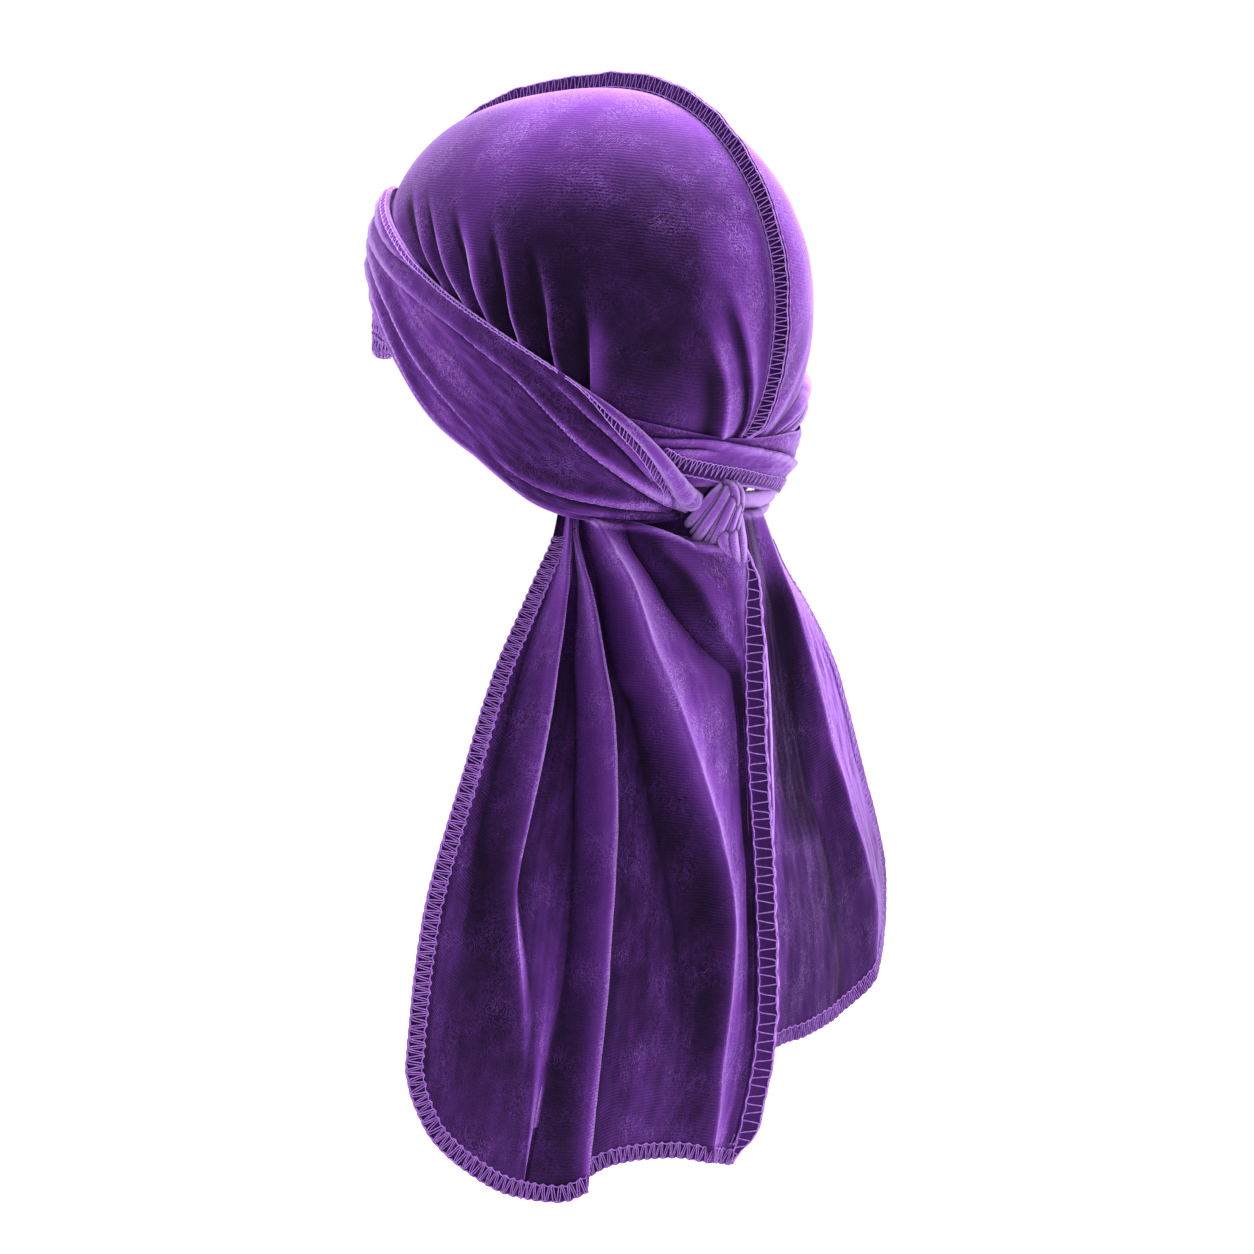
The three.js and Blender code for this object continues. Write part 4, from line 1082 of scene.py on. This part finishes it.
# A slightly lighter copy of the velvet for the strap: painted light.
STRAP_VELVET = velvet("strap_velvet", rib=0.6, nap=1.3, painted_lift=0.06)
strap_mesh = strap_builder.mesh("velvet_strap_left", strap_fold)
strap = finish_piece(strap_mesh, STRAP_VELVET, "velvet", "strap_left")


strap_threads = Builder()


def strap_strip(turn, needle, edge, lifts, **stitches):
    """Stitches on the strap along `turn`, between lines at these shares across it, lifted by these heights."""
    out = head_normal(-turn, read(STRAP, turn, "top") + 20)
    lines = [strap_surface(turn, across) + out * lift for across, lift in zip((needle, edge), lifts)]
    overlock(strap_threads, *lines, out, sway=0, **stitches)


band_turn = np.linspace(-44, 44, 260)
band_lines = read_all(BAND_STRIP, band_turn, "needle edge")
strap_strip(band_turn, *band_lines, (0.3, 0.3), pitch=2.9, wave=0.6, seed=9, form="loops", steps=16)
strip_turn = np.linspace(298, 340, 160)
strip_wide = read(STRAP, strip_turn, "bottom") - read(STRAP, strip_turn, "top")
strip_from = 2 * read(STRAP_ROLL, strip_turn, "radius") * ease(strip_turn, 296, 312) + 0.2
strip_to = strip_from + 0.8 + 2.4 * ease(strip_turn, 300, 318)
strip_lines = (strip_to / strip_wide, strip_from / strip_wide)
strap_strip(strip_turn, *strip_lines, (0.7, 0.7), pitch=4.2, thick=0.2, wave=0.2, seed=12, form="rungs")
top_turn = np.linspace(150, 296, 300)
top_lines = (np.linspace(0.06, 0.02, 300), np.full(300, 0.004))
strap_strip(top_turn, *top_lines, (0.2, 0.5), pitch=3.6, thick=0.22, seed=10)
strap_stitches = finish_piece(strap_threads.mesh("strap_stitches"), THREAD, "velvet_seam")


# ---- Twisted strap and tie end ------------------------------------------------------------------


def route_frame(route, count):
    turn = np.linspace(route["turn"][0], route["turn"][-1], count)
    depth, lift, tall, thick = read_all(route, turn, "depth lift tall thick")
    middle = above_head(-turn, depth, lift)
    along = unit(np.gradient(middle, axis=0))
    slope = above_head(-turn, depth - 1, lift) - above_head(-turn, depth + 1, lift)
    out = unit(np.cross(slope, along))
    up = np.cross(along, out)
    return middle, up, out, tall, thick


def twisted_bundle(name, route, rolls, turns, steps, seed):
    """Rolls of cloth side by side that wind slowly round each other along a route on the head.

    Each roll has its place across the bundle, from -1 to 1, and its share of the bundle's height as radius.
    """
    middle, up, out, tall, thick = route_frame(route, steps)
    along = np.linspace(0, 1, steps)
    angle = 2 * math.pi * turns * along
    builder = Builder()
    for place, share in rolls:
        radius = tall * share
        reach = place * (tall / 2 - radius)
        rise, stand = np.cos(angle) * reach, np.sin(angle) * reach * thick / tall
        path = middle + up * rise[:, None] + out * stand[:, None]
        radius = radius * (1 + 0.08 * ripple(along * 9, seed=seed + int(place * 3)))
        builder.tube(path, radius, ROLL_TUBE_SIDES, out)
    return builder.mesh(name, builder.crevice_shade())


ROLL_TUBE_SIDES = 18
# Rolls of each bundle: place across it, and share of its height.
TWIST_ROLLS = ((-1, 0.17), (-0.1, 0.13), (0.95, 0.18))
TIE_ROLLS = ((-1, 0.27), (0.9, 0.24))
# Lighter copies of the velvet for the knot, the tie end and the twisted rolls: painted light.
KNOT_VELVET = velvet("knot_velvet", rib=0.3, nap=0.5, shade=1.15, painted_lift=0.64)
ROLLED_VELVET = velvet("rolled_velvet", rib=0.5, nap=0.6, shade=1.0, painted_lift=0.3)
twist_mesh = twisted_bundle("velvet_strap_twist", TWIST, TWIST_ROLLS, 0.45, 190, 41)
twist = finish_piece(twist_mesh, ROLLED_VELVET, "velvet", "strap_right_twist")
tie_mesh = twisted_bundle("velvet_tie_end", TIE_END, TIE_ROLLS, 0.12, 90, 51)
tie_end = finish_piece(tie_mesh, KNOT_VELVET, "velvet", "strap_right_end")


# ---- Knot ---------------------------------------------------------------------------------------

# Directions of the knot: across to the wearer's right back, up, and out from the nape to the left back.
KNOT_ACROSS = np.array([-0.616, 0.788, 0.0])
KNOT_OUT = np.array([0.788, 0.616, 0.0])
KNOT_UP = np.array([0.0, 0.0, 1.0])

# Turns of cloth round the knot: place along its axis, half length, height, tilt in degrees and thickness.
KNOT_AXIS, KNOT_ALONG = np.array([0.85, -0.53]), np.array([0.53, 0.85])
KNOT_TURNS = (
    (-7, 9.6, 6.2, 9, 2.1), (-4.4, 12, 7.4, 6, 1.1), (-2, 13.2, 7.8, 3, 2.2), (0.9, 13.2, 8.6, 0, 1),
    (3, 12.4, 8.2, -3, 2.1), (5.4, 11, 8.2, -6, 0.9), (7.4, 9, 7, -9, 1.8), (9.8, 6, 5.4, -12, 1.6),
)
# Degrees that each turn reaches to both sides, how flat its back is, and how much the knot narrows towards
# the right.
KNOT_REACH, KNOT_BACK, KNOT_TAPER = 172, 0.72, 0.78

# Other strands of the knot: across, up and out from its centre, and the radius there.
KNOT_STRANDS = {
    "loop_back": (
        (0, 12, -6, 1.6), (4, 12.2, 0, 2), (7, 9.6, 3.4, 2.2), (7.6, 4.6, 3.6, 2.1), (5.6, -0.4, 1.4, 1.8),
        (3.6, -3, -3, 1.6),
    ),
    "loop_far": (
        (2.5, 12.6, -8, 1.7), (7.4, 12, -2.4, 2), (10.4, 8.2, 0.2, 2.1), (10, 2.4, 0.6, 2),
        (7.2, -2, -1.6, 1.7), (5, -4, -6, 1.5),
    ),
    "neck_left": (
        (6, -1, -2, 1.8), (3.4, -6.6, 3.4, 2.2), (1.8, -10.6, 5, 2.6), (4.6, -16.5, 3.4, 2.6),
        (8.6, -24, -2.4, 2.2),
    ),
    "neck_middle": (
        (8, 0, -3, 2), (6.6, -6, 2.6, 2.3), (6.4, -11.4, 4.6, 2.6), (8, -17, 3, 2.4), (9.8, -25, -2.4, 2.2),
    ),
    "neck_right": (
        (10, 0, -5, 2), (10.2, -5, 0, 2.3), (10.8, -11, 2, 2.6), (11.2, -17, 1.4, 2.4), (11.4, -26, -3, 2.2),
    ),
}
KNOT_STEPS, RING_SIDES, STRAND_SIDES = 60, 22, 20
CORE_HALF, CORE_RADIUS, CORE_STEPS, CORE_SIDES, CORE_INSET = 8.5, 6.8, 18, 24, 3


def knot_point(across, up, out):
    across = np.where(across > 0, KNOT_TAPER * across, across)
    return KNOT_CENTRE + np.outer(across, KNOT_ACROSS) + np.outer(up, KNOT_UP) + np.outer(out, KNOT_OUT)


def knot():
    builder = Builder()
    out = np.tile(KNOT_OUT, (KNOT_STEPS, 1))
    ring_face = np.tile(KNOT_AXIS[0] * KNOT_ACROSS + KNOT_AXIS[1] * KNOT_UP, (KNOT_STEPS, 1))
    angle = np.radians(np.linspace(-KNOT_REACH, KNOT_REACH, KNOT_STEPS))
    rise = np.where(np.cos(angle) > 0, 1, KNOT_BACK) * np.cos(angle)
    for place, half, height, tilt, radius in KNOT_TURNS:
        turned = math.radians(tilt)
        along = math.cos(turned) * KNOT_ALONG + math.sin(turned) * KNOT_AXIS
        flat = KNOT_AXIS * place + np.outer(half * np.sin(angle), along)
        path = knot_point(flat[:, 0], flat[:, 1], height * rise - 2)
        uneven = 1 + 0.06 * ripple(angle * 0.8, seed=80 + int(place))
        builder.tube(path, radius * uneven, RING_SIDES, ring_face)
    step = np.arange(KNOT_STEPS)
    ends = ease(np.minimum(step, step[::-1]), -1.2, 6)
    for rows in KNOT_STRANDS.values():
        line = smoothed(rows, KNOT_STEPS)
        builder.tube(knot_point(*line[:, :3].T), line[:, 3] * (0.35 + 0.65 * ends), STRAND_SIDES, out)
    core = np.linspace(-1, 1, CORE_STEPS)
    path = KNOT_CENTRE + np.outer(core * CORE_HALF, KNOT_UP) - CORE_INSET * KNOT_OUT
    round_end = np.sqrt(np.maximum(1 - core**2, 0.02))
    builder.core(path, CORE_RADIUS * round_end, CORE_SIDES, out[:CORE_STEPS])
    return builder.mesh("velvet_knot", builder.crevice_shade())


knot_piece = finish_piece(knot(), KNOT_VELVET, "velvet", "knot")


# ---- Tail ---------------------------------------------------------------------------------------


def bend(start, middle, end, t):
    return (1 - t) ** 2 * start + 2 * t * (1 - t) * middle + t**2 * end


def hanging_share(panel, out, depth):
    leaves = read(TAIL_LEAVES, out, panel)
    return ease(depth, leaves - TAIL_SWING, leaves + 0.5)


def tail_plan(panel, out, depth):
    """The middle of a tail panel's cloth without folds, out from the seam at 0 to the edge at 1."""
    level = np.maximum(depth, TAIL_PLAN["depth"][0])
    columns = (f"seam_{axis} {panel}_bend_{axis} {panel}_{axis}" for axis in "xy")
    x, y = (bend(*read_all(TAIL_PLAN, level, three), out) for three in columns)
    hanging = np.stack(np.broadcast_arrays(x, y, -depth), axis=-1)
    side = 1 if panel == "left" else -1
    half_cloth = np.full(np.broadcast(out, depth).shape, CLOTH / 2)
    lying = above_head(side * out * TAIL_ANGLE[panel], depth, half_cloth)
    return lying + (hanging - lying) * hanging_share(panel, out, depth)[..., None]


def fold_lines(panel, depth):
    """Sharpness, place, height, lean and mark of each fold line; a drop adds the foot of a crest.

    The mark is a painted highlight on a crest, painted shade in a valley and a painted shadow at the foot of a
    dropping crest.
    """
    side = 1 if panel == "left" else -1
    lines = []
    for sharp, rows in TAIL_FOLDS[panel]:
        at, high, lean, drop = read_all(rows, depth, "at high lean drop")
        foot = (0.2, at - side * FOOT_REACH, high - drop, 0 * lean, -np.clip(drop / 12, 0, 1))
        tone = np.where(high < 0, 0.9 * np.clip(high / 7, -1, 0), sharp * np.clip(high / 8, 0, 1))
        crest = (sharp, at, high, -side * lean, tone)
        dropped = rows["drop"].max() > 0
        lines += ([foot, crest] if side > 0 else [crest, foot]) if dropped else [crest]
    return lines


def tail_fold(panel, at, depth):
    """How far the folds push the cloth out and lean it over, and their marks of painted highlight and shade. Sharp
    lines keep a crest.
    """
    high, lean, mark = (np.zeros(depth.shape) for _ in range(3))
    lines = fold_lines(panel, depth)
    for near, far in zip(lines[:-1], lines[1:]):
        gap = np.maximum(far[1] - near[1], 1e-4)
        t = np.clip((at - near[1]) / gap, 0, 1)
        inside = (at >= near[1]) & (at <= far[1])
        smooth = 3 * t**2 - 2 * t**3
        weight = smooth + CREST_SLOPE * (near[0] * (t**3 - 2 * t**2 + t) + far[0] * (t**3 - t**2))
        high = np.where(inside, near[2] + (far[2] - near[2]) * weight, high)
        lean = np.where(inside, near[3] * (1 - t) ** 3 + far[3] * t**3, lean)
        mark = np.where(inside, near[4] * (1 - t) ** MARK_FADE + far[4] * t**MARK_FADE, mark)
    return high, lean, mark


# Zones of painted shade on the right panel, and the dark stitched strip round the left panel.
TAIL_PAINTED_SHADE = (
    (0.95, (0.2, 0.32, 0.46, 0.6), (192, 215, 300, 340)),
    (0.66, (0.16, 0.3, 1.1, 1.2), (270, 330, 500, 501)),
    (0.9, (-2, -1, 0.25, 0.45), (0, 1, 205, 230)),
)
STRIP_SHADE, STRIP_SHARE = 0.55, 0.05


def tail_surface(panel, at, depth):
    """Middle of the folded cloth of a tail panel, its outward direction, and its marks of painted highlight and shade.
    """
    side = 1 if panel == "left" else -1
    out = at ** read(TAIL_DRAW, depth, panel)
    ahead = tail_plan(panel, np.minimum(out + 0.02, 1), depth)
    behind = tail_plan(panel, np.maximum(out - 0.02, 0), depth)
    along = ahead - behind
    along[..., 2] = 0
    along = unit(along)
    outward = np.stack([-along[..., 1] * side, along[..., 0] * side, 0 * along[..., 0]], axis=-1)
    high, lean, mark = tail_fold(panel, at, depth)
    fade = hanging_share(panel, out, depth)
    push = outward * (high * fade)[..., None] + along * (lean * fade)[..., None]
    leaves = read(TAIL_LEAVES, out, panel)
    # A painted highlight just below where the cloth leaves the head, and painted shade just above it.
    rim = bell(depth - leaves - 0.6, 1.1) - bell(depth - leaves + 5, 3)
    # The right panel takes zones of painted shade; the left panel a darker stitched strip along its hem and outer
    # edge.
    if panel == "right":
        painted_shade_and_dark_strip = zone_strength(TAIL_PAINTED_SHADE, at, depth).max(axis=0)
    else:
        hem = read(TAIL_HEM, at, panel)
        edge = ease(at, 1 - STRIP_SHARE * 1.2, 1 - STRIP_SHARE)
        painted_shade_and_dark_strip = STRIP_SHADE * np.maximum(ease(depth, hem - 7.5, hem - 6), edge)
    return tail_plan(panel, out, depth) + push, outward, np.clip(mark * fade + rim - painted_shade_and_dark_strip, -1, 1)


def tail_columns(panel, per_line):
    """Segment between fold lines, and share of it, for each grid column, so that crests follow columns."""
    lines = fold_lines(panel, np.array([300.0]))
    places = np.concatenate([line[1] for line in lines])
    columns = []
    for segment, gap in enumerate(np.diff(places)):
        count = max(FEWEST_COLUMNS, int(round(gap * per_line)))
        columns += [(segment, k / count) for k in range(count)]
    columns.append((len(places) - 2, 1.0))
    return np.array(columns)


def tail_grid(panel, per_line, rows):
    """Places out from the seam and depths of the grid. Each column keeps to its fold lines all the way down."""
    columns = tail_columns(panel, per_line)
    segment, share = columns[:, 0].astype(int), columns[:, 1:2]
    down = np.linspace(0, 1, rows)[None] ** 1.3
    depth = TAIL_TOP + (420 - TAIL_TOP) * down + 0 * share
    for _ in range(6):
        places = np.stack([line[1] for line in fold_lines(panel, depth)])
        near, far = (
            np.take_along_axis(places, np.broadcast_to(line[None, :, None], (1, *depth.shape)), axis=0)[0]
            for line in (segment, segment + 1)
        )
        at = np.clip(near + (far - near) * share, 0, 1)
        hem_at = at[:, -1:]
        depth = TAIL_TOP + (read(TAIL_HEM, hem_at, panel) - TAIL_TOP) * down
    return at, depth


def tail_panel(panel, per_line, rows):
    at, depth = tail_grid(panel, per_line, rows)
    points, outward, mark = tail_surface(panel, at, depth)
    points = points + outward * (0.3 * ripple(at * 9, depth / 45, seed=61) * ease(depth, 200, 240))[..., None]
    normal = grid_normals(points)
    normal = normal * np.sign(np.einsum("ijk,ijk->ij", normal, outward))[..., None]
    outer, inner = points + normal * CLOTH / 2, points - normal * CLOTH / 2
    return cloth_arrays(outer, inner, flat_lengths(outer)), mark, outer, inner, normal


def rim_line(face, outward, inset, count):
    """The free edge of a tail panel from the gather down and round to the seam, moved in by inset."""
    first = int(np.argmax(face[-1, :, 2] < -STITCH_TOP))
    both = np.concatenate([face, outward], axis=-1)
    line = resample(np.concatenate([both[-1, first:], both[-2:0:-1, -1]]), count)
    path, out = line[:, :3], unit(line[:, 3:])
    along = unit(np.gradient(path, axis=0))
    for _ in range(3):
        along = unit(along + np.roll(along, 1, axis=0) + np.roll(along, -1, axis=0))
    inward = unit(np.cross(out, along))
    middle = face[face.shape[0] // 2, face.shape[1] // 2]
    if np.einsum("ij,ij->i", inward, middle - path).mean() < 0:
        inward = -inward
    reach = np.ones(2 * RIM_SMOOTHING + 1) / (2 * RIM_SMOOTHING + 1)
    padded = np.pad(inward, ((RIM_SMOOTHING, RIM_SMOOTHING), (0, 0)), mode="edge")
    inward = unit(np.stack([np.convolve(padded[:, k], reach, mode="valid") for k in range(3)], axis=1))
    return path + inward * inset, out


STITCH_TOP, RIM_POINTS, RIM_SMOOTHING = 186, 900, 15
tails = {}
for panel, per_line, rows in (("left", 170, 184), ("right", 110, 140)):
    arrays, mark, face, back_face, outward = tail_panel(panel, per_line, rows)
    piece = finish_piece(add_cloth("velvet_tail_" + panel, arrays, mark), VELVET, "velvet", "tail_" + panel)
    threads = Builder()
    for side_face, towards, inset, stitches in (
        (face, outward, 6.4, {"wave": 0.9, "seed": 13, "sway": 0.22}),
        (back_face, -outward, 6.0, {"wave": 0.5, "seed": 14, "sway": 0, "steps": 8}),
    ):
        edge, out = rim_line(side_face, towards, 0.3, RIM_POINTS)
        needle, _ = rim_line(side_face, towards, inset, RIM_POINTS)
        overlock(threads, needle, edge, out, pitch=4.0, thick=0.25, **stitches)
    tails[panel] = (piece, finish_piece(threads.mesh(f"tail_{panel}_stitches"), HEM_THREAD, "velvet_seam"))


# ---- Tail seam ----------------------------------------------------------------------------------

TAIL_FLANGE_HEIGHT, TAIL_FLANGE_THICK, TAIL_FLANGE_LEAN = 8.4, 1.8, 24
# The flange starts at TOP, lower by LOWER, and has its full height at FULL.
TAIL_FLANGE_TOP, TAIL_FLANGE_FULL, TAIL_FLANGE_LOWER = 191, 235, 3.6


def tail_seam_sway(s):
    return 0.3 * ripple(s / 40, seed=71) + 0.2 * np.sin(s / 6.3)


def tail_flange():
    depth = np.linspace(TAIL_FLANGE_TOP, TAIL_HEM["left"][0], 260)
    lean = math.radians(TAIL_FLANGE_LEAN)
    up = np.tile([-math.sin(lean), math.cos(lean), 0], (len(depth), 1))
    side = np.tile([math.cos(lean), math.sin(lean), 0], (len(depth), 1))
    foot = tail_plan("left", np.zeros(len(depth)), depth) + up * 0.1
    tall = TAIL_FLANGE_HEIGHT - TAIL_FLANGE_LOWER * (1 - ease(depth, TAIL_FLANGE_TOP, TAIL_FLANGE_FULL))
    return flange(foot, up, side, tall, TAIL_FLANGE_THICK, tail_seam_sway, 6, 16)


tail_seam_piece, tail_seam_threads = standing_seam(
    "tail_seam", tail_flange(), 0.8, (15, 16), pitch=7.5, thick=0.26, wave=0.7, form="rungs"
)
# A lighter copy of the velvet for the tail seam's flange: painted light.
TAIL_SEAM_VELVET = velvet("tail_seam_velvet", rib=0.4, nap=0.6, shade=1.0, sheen=0.16, painted_lift=0.12)
finish_piece(tail_seam_piece, TAIL_SEAM_VELVET, "velvet_seam", "tail_seam")
finish_piece(tail_seam_threads, THREAD, "velvet_seam")


# ---- What the soft pieces are -------------------------------------------------------------------

tail_left, tail_left_threads = tails["left"]
tail_right, tail_right_threads = tails["right"]
# Each cut piece of cloth: flat width and length in metres, flat area where the cut isn't a rectangle, how it
# is held, what it lies on or hangs from, and the stitches on it.
for piece, flat, area, held, rests_on, stitches in (
    (crown_left, (0.20, 0.29), 0.0405, "stretched", ["crown_seam"], []),
    (crown_right, (0.20, 0.29), 0.0405, "stretched", ["crown_seam"], []),
    (crown_seam_piece, (0.01, 0.36), None, "folded", ["crown_left"], [crown_seam_threads]),
    (hem, (0.026, 0.22), None, "gathered", ["crown_left"], [hem_stitches]),
    (strap, (0.076, 0.643), 0.0331, "folded", ["crown_left"], [strap_stitches]),
    (tail_left, (0.21, 0.28), 0.0555, "gathered", ["crown_left"], [tail_left_threads]),
    (tail_right, (0.15, 0.28), 0.0275, "gathered", ["crown_right"], [tail_right_threads]),
    (tail_seam_piece, (0.01, 0.255), None, "folded", ["tail_left"], [tail_seam_threads]),
):
    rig.sheet(piece, flat=flat, held=held, rests_on=rests_on, area=area, with_pieces=stitches)
# Cloth rolled up on itself, which no flat outer sheet describes.
for piece, fill in ((twist, 0.5), (tie_end, 0.4), (knot_piece, 0.7)):
    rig.padded(piece, fill=fill)


# ---- Stage, light and camera --------------------------------------------------------------------

FLOOR_Z, FLOOR_HALF = -0.62, 40.0
LIGHT_SIZE = 0.6


def plain(name, colour, glow):
    n = Nodes(name)
    place = n.add("TexCoord").outputs["Object"]
    tone = n.mix(n.noise(place, 3, 2), colour, tuple(0.985 * c for c in colour))
    shader = n.add("BsdfPrincipled", {"Base Color": tone, "Roughness": 0.9, "Emission Color": (1, 1, 1, 1),
                                      "Emission Strength": glow})
    return n.finish(shader)


floor_points = np.array([(-1, -1, 0), (1, -1, 0), (1, 1, 0), (-1, 1, 0)], float) * FLOOR_HALF / MM
floor_points[:, 2] = FLOOR_Z / MM
floor = make_mesh("floor", floor_points, [np.array([[0, 1, 2, 3]])])
floor.data.materials.append(plain("pale_floor", (0.9, 0.9, 0.9), 0.25))
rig.stage(floor)

world = bpy.data.worlds.new("studio")
bpy.context.scene.world = world
world.use_nodes = True
world.node_tree.nodes["Background"].inputs["Color"].default_value = (1, 1, 1, 1)
world.node_tree.nodes["Background"].inputs["Strength"].default_value = 1.0


def area_light(name, place, towards, power):
    data = bpy.data.lights.new(name, "AREA")
    data.shape = "SQUARE"
    data.size = LIGHT_SIZE
    data.energy = power
    lamp = bpy.data.objects.new(name, data)
    lamp.location = place
    lamp.rotation_mode = "QUATERNION"
    lamp.rotation_quaternion = (Vector(towards) - Vector(place)).to_track_quat("-Z", "Y")
    bpy.context.scene.collection.objects.link(lamp)
    return lamp


area_light("top", (-0.45, 0.25, 1.55), (0, 0, -0.05), 95)
area_light("left", (1.2, -0.9, 0.5), (0, 0, -0.2), 8)
area_light("right", (-0.3, 1.1, 1.2), (0, 0, -0.2), 14)

AZIMUTH, ELEVATION, DISTANCE = 52.0, 1.0, 1.350
AIM = Vector((0, 0, -0.2235))
ASIDE = 0.0147
LENS = 92.27

a, e = math.radians(AZIMUTH), math.radians(ELEVATION)
back = Vector((math.sin(a) * math.cos(e), math.cos(a) * math.cos(e), math.sin(e)))
right = Vector((-math.cos(a), math.sin(a), 0))
camera_data = bpy.data.cameras.new("camera")
camera_data.lens = LENS
camera_data.sensor_width = 36
camera_data.clip_end = 100
camera = bpy.data.objects.new("camera", camera_data)
camera.location = AIM + right * ASIDE + back * DISTANCE
camera.rotation_mode = "QUATERNION"
camera.rotation_quaternion = (-back).to_track_quat("-Z", "Y")
bpy.context.scene.collection.objects.link(camera)
bpy.context.scene.camera = camera
bpy.context.scene.view_settings.view_transform = "Standard"

with open("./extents.json", "w") as f:
    shown = [list(corner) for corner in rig.bounds()]
    json.dump({"cad": [[round(v, 4) for v in c] for c in CAD_BOUNDS],
               "shown": [[round(v, 4) for v in c] for c in shown]}, f)
